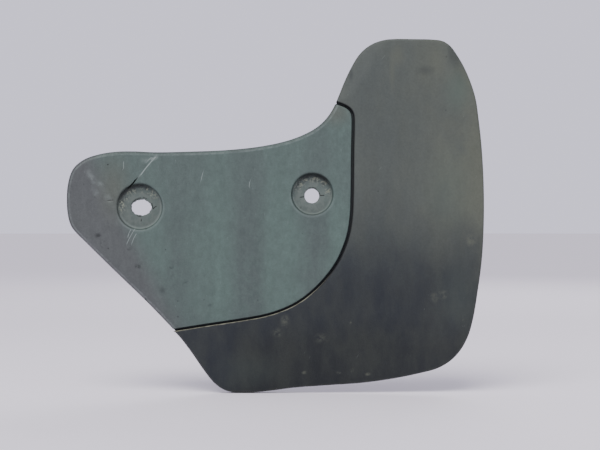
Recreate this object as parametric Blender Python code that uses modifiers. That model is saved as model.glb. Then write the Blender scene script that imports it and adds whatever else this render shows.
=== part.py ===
"""A two-material mud flap: a rigid carrier plate with two fixing holes, and a rubber flap clamped behind its edge.

Row frame, in metres. The origin is the centre of the round fixing hole on the plane that bears on the vehicle.
+X runs towards the flap's free side, +Z up, and the visible front face looks towards -Y.
"""

import math

import bmesh
import bpy
from mathutils import Matrix, Vector

# Edges of the object in the XZ plane, as points that a smooth curve runs through.
UPPER_SEAM_END = (0.0128, 0.0502)
LOWER_SEAM_END = (-0.0762, -0.0738)
CARRIER_EDGE = [
    UPPER_SEAM_END, (0.0105, 0.0459), (0.0070, 0.0413), (0.0020, 0.0370), (-0.0060, 0.0328), (-0.0155, 0.0296),
    (-0.0290, 0.0269), (-0.0460, 0.0252), (-0.0680, 0.0244), (-0.0940, 0.0246), (-0.1075, 0.0242),
    (-0.1165, 0.0229), (-0.1252, 0.0200), (-0.1315, 0.0148), (-0.1346, 0.0065), (-0.1354, -0.0030),
    (-0.1347, -0.0110), (-0.1330, -0.0165), (-0.1298, -0.0208), (-0.1255, -0.0250), (-0.1077, -0.0421),
    (-0.0905, -0.0588), LOWER_SEAM_END,
]
FLAP_EDGE = [
    LOWER_SEAM_END, (-0.0720, -0.0784), (-0.0660, -0.0866), (-0.0600, -0.0956), (-0.0545, -0.1028),
    (-0.0495, -0.1068), (-0.0440, -0.1086), (-0.0370, -0.1089), (-0.0240, -0.1079), (-0.0100, -0.1061),
    (0.0110, -0.1046), (0.0290, -0.1033), (0.0465, -0.1008), (0.0600, -0.0980), (0.0690, -0.0950),
    (0.0757, -0.0908), (0.0812, -0.0852), (0.0857, -0.0775), (0.0888, -0.0680), (0.0914, -0.0515),
    (0.0936, -0.0333), (0.0946, -0.0110), (0.0943, 0.0107), (0.0932, 0.0285), (0.0918, 0.0415),
    (0.0897, 0.0530), (0.0868, 0.0632), (0.0835, 0.0713), (0.0798, 0.0778), (0.0760, 0.0824),
    (0.0715, 0.0850), (0.0660, 0.0861), (0.0560, 0.0863), (0.0450, 0.0863), (0.0390, 0.0856),
    (0.0335, 0.0837), (0.0287, 0.0805), (0.0250, 0.0763), (0.0212, 0.0697), (0.0178, 0.0625),
    (0.0152, 0.0560), UPPER_SEAM_END,
]
SEAM = [
    UPPER_SEAM_END, (0.0162, 0.0500), (0.0192, 0.0484), (0.0211, 0.0462), (0.0221, 0.0433), (0.0223, 0.0393),
    (0.0220, 0.0260), (0.0218, 0.0000), (0.0214, -0.0100), (0.0202, -0.0190), (0.0180, -0.0267),
    (0.0137, -0.0362), (0.0070, -0.0455), (-0.0010, -0.0534), (-0.0085, -0.0588), (-0.0170, -0.0628),
    (-0.0265, -0.0657), (-0.0393, -0.0680), (-0.0570, -0.0707), LOWER_SEAM_END,
]
SEAM_GAP = 0.0010
OUTLINE_STEP = 0.0040

# Front face: a shallow crown, a nose that folds back at the left end, and a skirt that leans back below.
CARRIER_DEPTH = 0.0130
CROWN_CENTRE = (-0.020, 0.0)
CROWN_RADIUS_X = 2.6
CROWN_RADIUS_Z = 1.5
NOSE_X = -0.111
NOSE_LEAN = 0.95
NOSE_SLOPE = 0.15
NOSE_CREASE = 0.003
SKIRT_Z = -0.035
SKIRT_RADIUS = 0.5
GRID_STEP = 0.012

# Carrier plate: a thin shell with a rim, two recessed fixing bosses, ribs and screw studs.
SKIN = 0.0025
RIM_WALL = 0.0022
RIM_BACK_Y = -0.0005
RIB_WALL = 0.0016
RIB_BACK_Y = -0.0055
RECESS_FLOOR_Y = -0.0095
RECESS_TAPER = 0.0013
SEAT_THICKNESS = 0.0030
BEARING_WALL = 0.0034
BORE_RELIEF = 0.0012
BOSS_WALL = 0.0021
BOSS_TAPER = 0.0023
BOSS_CLEARANCE = 0.0008
ROUND_HOLE = {
    "centre": (0.0, 0.0), "width": 0.0085, "length": 0.0085, "boss": (0.0002, 0.0008), "recess": 0.0118,
}
SLOT_HOLE = {
    "centre": (-0.0942, -0.0071), "width": 0.0091, "length": 0.0116, "boss": (-0.0946, -0.0062), "recess": 0.0126,
}
RIBS = [
    ((-0.0942, -0.0071), (0.0, 0.0)), ((-0.0942, -0.0071), (-0.0942, 0.0240)),
    ((-0.0942, -0.0071), (-0.1370, -0.0030)), ((-0.0942, -0.0071), (-0.0900, -0.0640)),
    ((0.0, 0.0), (-0.0010, 0.0360)), ((0.0, 0.0), (-0.0260, -0.0440)),
    ((-0.0480, 0.0240), (-0.0480, -0.0500)),
]

# Rubber flap: a web inside a thicker edge, with a tongue that lies behind the carrier.
FLAP_WEB = 0.0034
FLAP_EDGE_DEPTH = 0.0053
FLAP_EDGE_WIDTH = 0.0040
FLAP_PROUD = 0.0008
PROUD_FROM_Z = -0.010
PROUD_TO_Z = -0.050

# Clamped joint behind the seam: depths are counted back from the front face.
TONGUE_FRONT = 0.0028
TONGUE_REACH = 0.0155
LIP_REACH = 0.0030
RIM_CLEARANCE = 0.0006
GAP_CLEARANCE = 0.0001
GAP_END_INSET = 0.0006
CLAMP_TOP_Z = 0.0360
CLAMP_LEFT_X = -0.0620
STRIP_FRONT = 0.0056
STRIP_THICKNESS = 0.0012
STRIP_NEAR = 0.0020
STRIP_FAR = 0.0130
SCREW_SHARES = (0.055, 0.325, 0.455, 0.580, 0.705, 0.830, 0.950)
SCREW_SEAT = 0.0071
SCREW_SHANK_RADIUS = 0.0015
SCREW_LENGTH = 0.0054
SCREW_HEAD_RADIUS = 0.0040
SCREW_HEAD_HEIGHT = 0.0019
STUD_RADIUS = 0.0032
STUD_BACK = 0.0050
PILOT_FRONT = 0.0013
FIT_GAP = 0.0003

# The flap's free corner bends about a line across it, which clears the clamped joint.
BEND_DISTANCE = 0.050
BEND_DEPTH = 0.0070
BEND_CUT = 0.0003

BEYOND = 0.03
ROUND_STEPS = 32
SCREW_STEPS = 18

FINISHES = {
    "carrier_plastic": ((0.135, 0.165, 0.162), 0.55, 0.0),
    "flap_rubber": ((0.060, 0.068, 0.071), 0.65, 0.0),
    "plated_steel": ((0.55, 0.53, 0.48), 0.35, 1.0),
    "screw_steel": ((0.42, 0.41, 0.40), 0.40, 1.0),
}


def smooth_run(points):
    """The centripetal Catmull-Rom curve through the points, as a list of Vectors about OUTLINE_STEP apart."""
    knots = [Vector(p) for p in points]
    knots = [2 * knots[0] - knots[1], *knots, 2 * knots[-1] - knots[-2]]
    run = []
    for p0, p1, p2, p3 in zip(knots, knots[1:], knots[2:], knots[3:]):
        t1 = (p1 - p0).length ** 0.5
        t2 = t1 + (p2 - p1).length ** 0.5
        t3 = t2 + (p3 - p2).length ** 0.5
        pieces = max(1, math.ceil((p2 - p1).length / OUTLINE_STEP))
        for k in range(pieces):
            t = t1 + (t2 - t1) * k / pieces
            a1 = p0.lerp(p1, t / t1)
            a2 = p1.lerp(p2, (t - t1) / (t2 - t1))
            a3 = p2.lerp(p3, (t - t2) / (t3 - t2))
            b1 = a1.lerp(a2, t / t2)
            b2 = a2.lerp(a3, (t - t1) / (t3 - t1))
            run.append(b1.lerp(b2, (t - t1) / (t2 - t1)))
    return [*run, knots[-2]]


def offset_run(run, distance, closed=False):
    """The run moved sideways, to the left of its direction for a positive distance, with mitred corners."""
    moved = []
    for i, point in enumerate(run):
        before = run[i - 1] if closed or i > 0 else point
        after = run[(i + 1) % len(run)] if closed or i + 1 < len(run) else point
        into = (point - before).normalized() if before != point else (after - point).normalized()
        out = (after - point).normalized() if after != point else into
        left_in = Vector((-into.y, into.x))
        left_out = Vector((-out.y, out.x))
        mitre = (left_in + left_out).normalized()
        moved.append(point + mitre * distance / max(0.5, mitre.dot(left_in)))
    return moved


def between_seam_ends(edge):
    """A smooth edge without its ends, which the seam's own ends take over."""
    ends = (Vector(UPPER_SEAM_END), Vector(LOWER_SEAM_END))
    return [p for p in smooth_run(edge) if min((p - end).length for end in ends) > SEAM_GAP]


def carrier_outline():
    return between_seam_ends(CARRIER_EDGE) + offset_run(smooth_run(SEAM), -SEAM_GAP / 2)[::-1]


def flap_outline():
    return between_seam_ends(FLAP_EDGE) + offset_run(smooth_run(SEAM), SEAM_GAP / 2)


def whole_outline():
    return smooth_run(CARRIER_EDGE)[:-1] + smooth_run(FLAP_EDGE)[:-1]


def seam_band(near, far):
    """The clamped stretch behind the seam, from near to far on the carrier's side of it."""
    clamped = [p for p in smooth_run(SEAM) if p.y < CLAMP_TOP_Z and p.x > CLAMP_LEFT_X]
    return offset_run(clamped, -far) + offset_run(clamped, -near)[::-1]


def screw_places():
    """Points along the middle of the clamp strip, clear of the round hole's boss."""
    clamped = [p for p in smooth_run(SEAM) if p.y < CLAMP_TOP_Z and p.x > CLAMP_LEFT_X]
    line = offset_run(clamped, -(STRIP_NEAR + STRIP_FAR) / 2)
    lengths = [0.0]
    for a, b in zip(line, line[1:]):
        lengths.append(lengths[-1] + (b - a).length)
    places = []
    for screw_share in SCREW_SHARES:
        along = lengths[-1] * screw_share
        i = max(j for j, length in enumerate(lengths[:-1]) if length <= along)
        share = (along - lengths[i]) / (lengths[i + 1] - lengths[i])
        places.append(line[i].lerp(line[i + 1], share))
    return places


def oval(centre, width, length):
    """A worn slot's outline, long along X; a circle where its length is its width."""
    points = []
    for k in range(ROUND_STEPS):
        angle = 2 * math.pi * (k + 0.5) / ROUND_STEPS
        points.append(Vector((centre[0] + length / 2 * math.cos(angle), centre[1] + width / 2 * math.sin(angle))))
    return points


def front_y(x, z):
    """Y of the carrier's front face."""
    crown = (x - CROWN_CENTRE[0]) ** 2 / (2 * CROWN_RADIUS_X) + (z - CROWN_CENTRE[1]) ** 2 / (2 * CROWN_RADIUS_Z)
    past_nose = NOSE_X - NOSE_LEAN * max(0.0, z) - x
    nose = NOSE_SLOPE * (past_nose + math.hypot(past_nose, NOSE_CREASE)) / 2
    skirt = max(0.0, SKIRT_Z - z) ** 2 / (2 * SKIRT_RADIUS)
    return -CARRIER_DEPTH + crown + nose + skirt


def flap_front_y(x, z):
    """Y of the flap's front face, which stands proud of the carrier along the lower seam."""
    share = min(1.0, max(0.0, (z - PROUD_FROM_Z) / (PROUD_TO_Z - PROUD_FROM_Z)))
    return front_y(x, z) - FLAP_PROUD * share * share * (3 - 2 * share)


def behind(height, depth):
    """A height function at a depth behind another one."""
    return lambda x, z: height(x, z) + depth


def flat(y):
    return lambda x, z: y


def surface_matrix(place, depth):
    """A frame at a depth behind the front face, with its Z axis along the face's normal, towards the vehicle."""
    x, z = place
    step = 0.001
    slope_x = (front_y(x + step, z) - front_y(x - step, z)) / (2 * step)
    slope_z = (front_y(x, z + step) - front_y(x, z - step)) / (2 * step)
    normal = Vector((-slope_x, 1.0, -slope_z)).normalized()
    turn = normal.to_track_quat("Z", "Y").to_matrix().to_4x4()
    return Matrix.Translation(Vector((x, front_y(x, z), z)) + normal * depth) @ turn


def new_object(name, mesh, collection):
    obj = bpy.data.objects.new(name, mesh)
    collection.objects.link(obj)
    return obj


def mesh_of(obj):
    """The object's evaluated mesh in world space, with its loose caps welded."""
    bpy.context.view_layer.update()
    evaluated = obj.evaluated_get(bpy.context.evaluated_depsgraph_get())
    mesh = bpy.data.meshes.new_from_object(evaluated)
    mesh.transform(obj.matrix_world)
    bm = bmesh.new()
    bm.from_mesh(mesh)
    bmesh.ops.remove_doubles(bm, verts=bm.verts, dist=1e-6)
    bmesh.ops.recalc_face_normals(bm, faces=bm.faces)
    bm.to_mesh(mesh)
    bm.free()
    return mesh


def prism(outline, low_y, high_y):
    """The outline's area between two Y levels, as a mesh object."""
    curve = bpy.data.curves.new("outline", "CURVE")
    curve.dimensions = "2D"
    curve.fill_mode = "BOTH"
    curve.extrude = (high_y - low_y) / 2
    spline = curve.splines.new("POLY")
    spline.points.add(len(outline) - 1)
    for point, at in zip(spline.points, outline):
        point.co = (at.x, at.y, 0.0, 1.0)
    spline.use_cyclic_u = True
    drawn = new_object("outline", curve, CUTTERS)
    drawn.location = (0.0, (low_y + high_y) / 2, 0.0)
    drawn.rotation_euler = (math.pi / 2, 0.0, 0.0)
    solid = new_object("prism", mesh_of(drawn), CUTTERS)
    bpy.data.objects.remove(drawn)
    bpy.data.curves.remove(curve)
    return solid


def combine(target, operation, tool):
    """Applies a Boolean of the tool to the target and removes the tool."""
    modifier = target.modifiers.new(operation, "BOOLEAN")
    modifier.operation = operation
    modifier.object = tool
    mesh = mesh_of(target)
    target.modifiers.clear()
    target.data = mesh
    bpy.data.objects.remove(tool)
    return target


def crowned_slab(outline, front, back):
    """The solid between two height functions, over the outline's bounds."""
    low = Vector((min(p.x for p in outline), min(p.y for p in outline)))
    high = Vector((max(p.x for p in outline), max(p.y for p in outline)))
    middle = (low + high) / 2
    size = high - low + Vector((0.01, 0.01))
    bm = bmesh.new()
    columns = math.ceil(size.x / GRID_STEP)
    rows = math.ceil(size.y / GRID_STEP)
    bmesh.ops.create_grid(bm, x_segments=columns, y_segments=rows, size=0.5)
    for vert in bm.verts:
        x = middle.x + vert.co.x * size.x
        z = middle.y + vert.co.y * size.y
        vert.co = (x, front(x, z), z)
    raised = bmesh.ops.extrude_face_region(bm, geom=bm.faces[:])
    for vert in (g for g in raised["geom"] if isinstance(g, bmesh.types.BMVert)):
        vert.co.y = back(vert.co.x, vert.co.z)
    bmesh.ops.recalc_face_normals(bm, faces=bm.faces)
    mesh = bpy.data.meshes.new("block")
    bm.to_mesh(mesh)
    bm.free()
    return new_object("slab", mesh, CUTTERS)


def crowned_block(outline, front, back):
    """The solid between two height functions, trimmed to an outline."""
    return combine(crowned_slab(outline, front, back), "INTERSECT", prism(outline, -2 * BEYOND, 2 * BEYOND))


def cone(matrix, radius_1, radius_2, length):
    """A closed cone frustum whose first end is at the matrix's origin and whose axis is its Z axis."""
    bm = bmesh.new()
    bmesh.ops.create_cone(
        bm, cap_ends=True, segments=ROUND_STEPS, radius1=radius_1, radius2=radius_2, depth=length,
        matrix=matrix @ Matrix.Translation((0, 0, length / 2)),
    )
    mesh = bpy.data.meshes.new("cone")
    bm.to_mesh(mesh)
    bm.free()
    return new_object("cone", mesh, CUTTERS)


def rib(start, end):
    """A thin wall from the front skin back to the ribs' level, along a line between two points."""
    a = Vector(start)
    b = Vector(end)
    front = -CARRIER_DEPTH - BEYOND / 10
    bm = bmesh.new()
    bmesh.ops.create_cube(bm, size=1.0)
    bmesh.ops.scale(bm, vec=((b - a).length, RIB_BACK_Y - front, RIB_WALL), verts=bm.verts)
    turn = Matrix.Rotation(-math.atan2(b.y - a.y, b.x - a.x), 4, "Y")
    middle = (a + b) / 2
    place = Matrix.Translation((middle.x, (front + RIB_BACK_Y) / 2, middle.y))
    bmesh.ops.transform(bm, matrix=place @ turn, verts=bm.verts)
    mesh = bpy.data.meshes.new("rib")
    bm.to_mesh(mesh)
    bm.free()
    return new_object("rib", mesh, CUTTERS)


def facing_back(centre, y):
    """A frame at a point of the XZ plane whose Z axis points to +Y, towards the vehicle."""
    return Matrix.Translation((centre[0], y, centre[1])) @ Matrix.Rotation(-math.pi / 2, 4, "X")


def fixing_boss(hole):
    """The tapered boss that carries a fixing hole from the skin to the vehicle."""
    root = hole["recess"] + BOSS_WALL
    start = -CARRIER_DEPTH - BEYOND / 10
    return cone(facing_back(hole["boss"], start), root, root - BOSS_TAPER, BEYOND - start)


def boss_relief(hole):
    """The space in the back of a boss, between its wall and the tube round its hole."""
    tube = 2 * BEARING_WALL
    outside = hole["recess"] - BOSS_TAPER
    relief = cone(facing_back(hole["boss"], RECESS_FLOOR_Y + SEAT_THICKNESS), outside, outside, BEYOND)
    bearing = oval(hole["centre"], hole["width"] + tube, hole["length"] + tube)
    return combine(relief, "DIFFERENCE", prism(bearing, -BEYOND, 2 * BEYOND))


def boss_clearance(hole):
    """The space that the clamped pieces leave round a boss."""
    radius = hole["recess"] + BOSS_WALL + BOSS_CLEARANCE
    return cone(facing_back(hole["boss"], -3 * BEYOND), radius, radius, 6 * BEYOND)


def fixing_recess(hole):
    """The tapered recess that a screw's head and washer sit in, cut from the front."""
    depth = CARRIER_DEPTH + RECESS_FLOOR_Y
    widening = RECESS_TAPER / depth
    start = RECESS_FLOOR_Y - 2 * depth
    matrix = facing_back(hole["boss"], start)
    floor_radius = hole["recess"] - RECESS_TAPER
    return cone(matrix, floor_radius + widening * 2 * depth, floor_radius, 2 * depth)


def finish(obj, name, material_name, origin=(0.0, 0.0, 0.0)):
    """Names a solid, gives it its material and puts its origin where it is wanted."""
    obj.name = name
    obj.data.name = name
    obj.data.transform(Matrix.Translation(-Vector(origin)))
    obj.location = origin
    obj.data.materials.clear()
    obj.data.materials.append(MATERIALS[material_name])
    obj.data.shade_smooth()
    obj.data.set_sharp_from_angle(angle=math.radians(30))
    CUTTERS.objects.unlink(obj)
    PART.objects.link(obj)
    obj.parent = ROOT
    return obj


def make_carrier_plate():
    plate = crowned_block(carrier_outline(), front_y, flat(RIM_BACK_Y))
    hollow = crowned_block(offset_run(whole_outline(), RIM_WALL, closed=True), behind(front_y, SKIN), flat(BEYOND))
    for hole in (ROUND_HOLE, SLOT_HOLE):
        combine(hollow, "DIFFERENCE", fixing_boss(hole))
    for start, end in RIBS:
        combine(hollow, "DIFFERENCE", rib(start, end))
    combine(plate, "DIFFERENCE", hollow)
    for hole in (ROUND_HOLE, SLOT_HOLE):
        root = hole["recess"] + BOSS_WALL - BOSS_TAPER
        seat = cone(facing_back(hole["boss"], RECESS_FLOOR_Y), root, root - BOSS_WALL, -RECESS_FLOOR_Y)
        combine(plate, "UNION", seat)
        combine(plate, "DIFFERENCE", boss_relief(hole))
        combine(plate, "DIFFERENCE", fixing_recess(hole))
        combine(plate, "DIFFERENCE", prism(oval(hole["centre"], hole["width"], hole["length"]), -BEYOND, BEYOND))
        wide = oval(hole["centre"], hole["width"] + 2 * BORE_RELIEF, hole["length"] + 2 * BORE_RELIEF)
        combine(plate, "DIFFERENCE", prism(wide, RECESS_FLOOR_Y + SEAT_THICKNESS, BEYOND))
    for place in screw_places():
        stud = cone(surface_matrix(place, SKIN / 2), STUD_RADIUS, STUD_RADIUS, STUD_BACK - SKIN / 2)
        combine(plate, "UNION", stud)
    for place in screw_places():
        pilot_radius = SCREW_SHANK_RADIUS + FIT_GAP
        combine(plate, "DIFFERENCE", cone(surface_matrix(place, PILOT_FRONT), pilot_radius, pilot_radius, BEYOND))
    return finish(plate, "carrier_plate", "carrier_plastic")


def make_tongue():
    """The clamped tongue, the lip that backs the rest of the seam, and the floor that closes the seam's open ends."""
    overlap = -FLAP_EDGE_WIDTH / 2
    seam = smooth_run(SEAM)
    lip = offset_run(seam, -LIP_REACH) + offset_run(seam, -overlap)[::-1]
    region = prism(seam_band(overlap, TONGUE_REACH), -1.5 * BEYOND, 1.5 * BEYOND)
    combine(region, "UNION", prism(lip, -1.2 * BEYOND, 1.2 * BEYOND))
    inside = offset_run(whole_outline(), RIM_WALL + RIM_CLEARANCE, closed=True)
    combine(region, "INTERSECT", prism(inside, -2 * BEYOND, 2 * BEYOND))
    combine(region, "DIFFERENCE", boss_clearance(ROUND_HOLE))
    reach = SEAM_GAP / 2 - GAP_CLEARANCE
    floor = prism(offset_run(seam, -reach) + offset_run(seam, -0.9 * overlap)[::-1], -1.3 * BEYOND, 1.3 * BEYOND)
    ends = offset_run(whole_outline(), GAP_END_INSET, closed=True)
    combine(floor, "INTERSECT", prism(ends, -2.2 * BEYOND, 2.2 * BEYOND))
    combine(region, "UNION", floor)
    tongue = crowned_slab(whole_outline(), behind(front_y, TONGUE_FRONT), behind(front_y, FLAP_EDGE_DEPTH))
    return combine(tongue, "INTERSECT", region)


def make_flap_solid():
    """The whole flap: web, thicker edge and the tongue with its stud holes."""
    outline = flap_outline()
    flap = crowned_block(outline, flap_front_y, behind(flap_front_y, FLAP_EDGE_DEPTH))
    inside = offset_run(outline, FLAP_EDGE_WIDTH, closed=True)
    combine(flap, "DIFFERENCE", crowned_block(inside, behind(flap_front_y, FLAP_WEB), flat(BEYOND)))
    combine(flap, "UNION", make_tongue())
    for place in screw_places():
        hole_radius = STUD_RADIUS + FIT_GAP
        combine(flap, "DIFFERENCE", cone(surface_matrix(place, 0), hole_radius, hole_radius, BEYOND))
    return flap


def bend_half(distance, side):
    """A large box on one side of the bend line, whose near face is at a distance from the round hole's axis."""
    bm = bmesh.new()
    bmesh.ops.create_cube(bm, size=1.0)
    place = Matrix.Rotation(math.radians(45), 4, "Y") @ Matrix.Translation((distance + side / 2, 0, 0))
    bmesh.ops.transform(bm, matrix=place, verts=bm.verts)
    mesh = bpy.data.meshes.new("half")
    bm.to_mesh(mesh)
    bm.free()
    return new_object("half", mesh, CUTTERS)


def make_rubber_flap():
    """The flap as two nodes that meet on the bend line: the clamped root, and the blade that flexes."""
    bend_axis = Vector((BEND_DISTANCE, 0.0, 0.0))
    bend_axis.rotate(Matrix.Rotation(math.radians(45), 3, "Y"))
    bend_axis.y = -BEND_DEPTH
    root = combine(make_flap_solid(), "INTERSECT", bend_half(BEND_DISTANCE - BEND_CUT / 2, -1))
    blade = combine(make_flap_solid(), "INTERSECT", bend_half(BEND_DISTANCE + BEND_CUT / 2, 1))
    finish(root, "rubber_flap_root", "flap_rubber")
    finish(blade, "rubber_flap_blade", "flap_rubber", origin=bend_axis)


def make_clamp_strip():
    back = STRIP_FRONT + STRIP_THICKNESS
    strip = crowned_block(seam_band(STRIP_NEAR, STRIP_FAR), behind(front_y, STRIP_FRONT), behind(front_y, back))
    combine(strip, "DIFFERENCE", boss_clearance(ROUND_HOLE))
    for place in screw_places():
        hole_radius = SCREW_SHANK_RADIUS + 2 * FIT_GAP
        combine(strip, "DIFFERENCE", cone(surface_matrix(place, 0), hole_radius, hole_radius, BEYOND))
    return finish(strip, "clamp_strip", "plated_steel")


def screw_mesh():
    """A pan-head tapping screw with a pressed washer face, turned about Z, with its seat at the origin."""
    head = SCREW_HEAD_RADIUS
    top = SCREW_HEAD_HEIGHT
    shank = SCREW_SHANK_RADIUS
    profile = [
        (0, top), (0.45 * head, top), (0.62 * head, 0.85 * top), (0.70 * head, 0.45 * top), (head, 0.32 * top),
        (head, 0), (shank, 0), (shank, 0.25 * shank - SCREW_LENGTH), (0.4 * shank, -SCREW_LENGTH), (0, -SCREW_LENGTH),
    ]
    mesh = bpy.data.meshes.new("screw_profile")
    mesh.from_pydata([(r, 0, z) for r, z in profile], [(i, i + 1) for i in range(len(profile) - 1)], [])
    turned = new_object("screw_profile", mesh, CUTTERS)
    spin = turned.modifiers.new("Turn", "SCREW")
    spin.steps = SCREW_STEPS
    spin.render_steps = SCREW_STEPS
    spin.use_merge_vertices = True
    spin.merge_threshold = 1e-5
    solid = new_object("screw", mesh_of(turned), CUTTERS)
    bpy.data.objects.remove(turned)
    for angle in (0, math.pi / 2):
        bm = bmesh.new()
        bmesh.ops.create_cube(bm, size=1.0)
        bmesh.ops.scale(bm, vec=(0.75 * head, 0.2 * head, 1.2 * top), verts=bm.verts)
        place = Matrix.Translation((0, 0, 1.05 * top)) @ Matrix.Rotation(angle, 4, "Z")
        bmesh.ops.transform(bm, matrix=place, verts=bm.verts)
        slot = bpy.data.meshes.new("driver_slot")
        bm.to_mesh(slot)
        bm.free()
        combine(solid, "DIFFERENCE", new_object("driver_slot", slot, CUTTERS))
    mesh = solid.data
    bpy.data.objects.remove(solid)
    return mesh


def make_strip_screws():
    mesh = screw_mesh()
    mesh.name = "strip_screw"
    mesh.materials.append(MATERIALS["screw_steel"])
    mesh.shade_smooth()
    mesh.set_sharp_from_angle(angle=math.radians(30))
    for number, place in enumerate(screw_places(), start=1):
        screw = new_object(f"strip_screw_{number}", mesh, PART)
        screw.matrix_world = surface_matrix(place, SCREW_SEAT)
        screw.parent = ROOT


def new_material(name, colour, roughness, metallic):
    material = bpy.data.materials.new(name)
    material.use_nodes = True
    shader = material.node_tree.nodes["Principled BSDF"]
    shader.inputs["Base Color"].default_value = (*colour, 1.0)
    shader.inputs["Roughness"].default_value = roughness
    shader.inputs["Metallic"].default_value = metallic
    return material


def new_collection(name):
    collection = bpy.data.collections.new(name)
    bpy.context.scene.collection.children.link(collection)
    return collection


for startup_object in list(bpy.data.objects):
    bpy.data.objects.remove(startup_object)

PART = new_collection("mud_flap")
CUTTERS = new_collection("cutters")
MATERIALS = {name: new_material(name, *values) for name, values in FINISHES.items()}
ROOT = bpy.data.objects.new("mud_flap_origin", None)
PART.objects.link(ROOT)

make_carrier_plate()
make_rubber_flap()
make_clamp_strip()
make_strip_screws()
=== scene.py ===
"""Mud flap: builds the looks of a two-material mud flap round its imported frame, with its lights and camera.

Everything is in metres in the frame's axes: +X towards the flap's free side, +Z up, and the front face towards -Y.
"""

import math

import bmesh
import bpy
import numpy as np
from bpy.props import FloatProperty, FloatVectorProperty, PointerProperty
from mathutils import Matrix, Vector
from mathutils.geometry import delaunay_2d_cdt
from mathutils.kdtree import KDTree


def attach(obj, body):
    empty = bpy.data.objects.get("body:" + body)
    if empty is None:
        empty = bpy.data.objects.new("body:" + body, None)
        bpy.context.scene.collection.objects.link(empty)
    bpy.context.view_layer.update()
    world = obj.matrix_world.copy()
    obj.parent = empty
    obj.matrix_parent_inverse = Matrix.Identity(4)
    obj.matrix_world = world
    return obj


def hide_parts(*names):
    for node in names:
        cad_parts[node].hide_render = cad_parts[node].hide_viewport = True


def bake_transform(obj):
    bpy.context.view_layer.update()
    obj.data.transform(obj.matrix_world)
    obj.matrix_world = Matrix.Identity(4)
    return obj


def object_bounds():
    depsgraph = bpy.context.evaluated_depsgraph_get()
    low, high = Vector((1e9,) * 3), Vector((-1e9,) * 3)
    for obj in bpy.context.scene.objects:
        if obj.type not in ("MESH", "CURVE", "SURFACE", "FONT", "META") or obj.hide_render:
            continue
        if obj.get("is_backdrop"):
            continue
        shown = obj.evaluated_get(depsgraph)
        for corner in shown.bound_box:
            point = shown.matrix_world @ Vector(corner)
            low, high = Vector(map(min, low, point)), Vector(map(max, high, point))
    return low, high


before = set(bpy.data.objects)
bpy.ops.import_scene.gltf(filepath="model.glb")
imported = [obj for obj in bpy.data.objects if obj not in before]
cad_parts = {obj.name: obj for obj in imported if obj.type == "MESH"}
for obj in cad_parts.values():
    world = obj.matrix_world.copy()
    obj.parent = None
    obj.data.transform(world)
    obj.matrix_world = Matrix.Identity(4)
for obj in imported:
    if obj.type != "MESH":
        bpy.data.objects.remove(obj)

bl_info = {
    "name": "Mud Flap",
    "version": (1, 0, 0),
    "blender": (4, 5, 0),
    "location": "3D View > Sidebar > Mud Flap",
    "description": "Builds a mud flap with a stiff carrier plate and a rubber flap, and a stage to show it on",
    "category": "Object",
}

# The edges, in the plane of the plate: points that a smooth curve runs through.
UPPER_SEAM_END = (0.0131, 0.0508)
LOWER_SEAM_END = (-0.0762, -0.0738)
CARRIER_EDGE = [
    UPPER_SEAM_END, (0.0105, 0.0459), (0.0070, 0.0413), (0.0020, 0.0370), (-0.0060, 0.0328), (-0.0155, 0.0296),
    (-0.0290, 0.0269), (-0.0460, 0.0251), (-0.0680, 0.0242), (-0.0860, 0.0239), (-0.0980, 0.0244), (-0.1075, 0.0242),
    (-0.1165, 0.0229), (-0.1252, 0.0200), (-0.1315, 0.0148), (-0.1346, 0.0065), (-0.1354, -0.0030),
    (-0.1347, -0.0110), (-0.1330, -0.0165), (-0.1298, -0.0208), (-0.1255, -0.0250), (-0.1077, -0.0421),
    (-0.0905, -0.0588), LOWER_SEAM_END,
]
FLAP_EDGE = [
    LOWER_SEAM_END, (-0.0720, -0.0784), (-0.0660, -0.0866), (-0.0600, -0.0956), (-0.0545, -0.1028),
    (-0.0495, -0.1068), (-0.0440, -0.1086), (-0.0370, -0.1089), (-0.0240, -0.1079), (-0.0100, -0.1061),
    (0.0110, -0.1046), (0.0290, -0.1033), (0.0465, -0.1008), (0.0600, -0.0980), (0.0692, -0.0955),
    (0.0762, -0.0915), (0.0818, -0.0857), (0.0861, -0.0777), (0.0888, -0.0680), (0.0914, -0.0515),
    (0.0936, -0.0333), (0.0946, -0.0110), (0.0943, 0.0107), (0.0932, 0.0285), (0.0918, 0.0415),
    (0.0902, 0.0532), (0.0874, 0.0634), (0.0839, 0.0714), (0.0800, 0.0779), (0.0763, 0.0827),
    (0.0720, 0.0853), (0.0660, 0.0861), (0.0560, 0.0863), (0.0450, 0.0863), (0.0390, 0.0856),
    (0.0335, 0.0837), (0.0287, 0.0805), (0.0250, 0.0763), (0.0212, 0.0697), (0.0178, 0.0625),
    (0.0152, 0.0560), UPPER_SEAM_END,
]
SEAM = [
    UPPER_SEAM_END, (0.0156, 0.0500), (0.0176, 0.0492), (0.0194, 0.0482), (0.0208, 0.0470), (0.0218, 0.0454),
    (0.0223, 0.0432), (0.0224, 0.0393), (0.0221, 0.0260), (0.0218, 0.0000), (0.0214, -0.0100),
    (0.0202, -0.0190), (0.0180, -0.0267),
    (0.0137, -0.0362), (0.0070, -0.0455), (-0.0010, -0.0534), (-0.0085, -0.0588), (-0.0170, -0.0628),
    (-0.0265, -0.0657), (-0.0393, -0.0680), (-0.0570, -0.0707), LOWER_SEAM_END,
]
FOLD_LINE = [(0.0737, 0.0830), (0.0787, 0.0650)]
OUTLINE_STEP = 0.0016

# The front face: a shallow crown, a nose that folds back at the left end, and a skirt that leans back below.
CARRIER_DEPTH = 0.0130
CROWN_CENTRE = (-0.020, 0.0)
CROWN_RADIUS_X = 2.6
CROWN_RADIUS_Z = 1.5
NOSE_X = -0.111
NOSE_LEAN = 0.95
NOSE_SLOPE = 0.15
NOSE_CREASE = 0.005
SKIRT_Z = -0.035
SKIRT_RADIUS = 0.5

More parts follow.
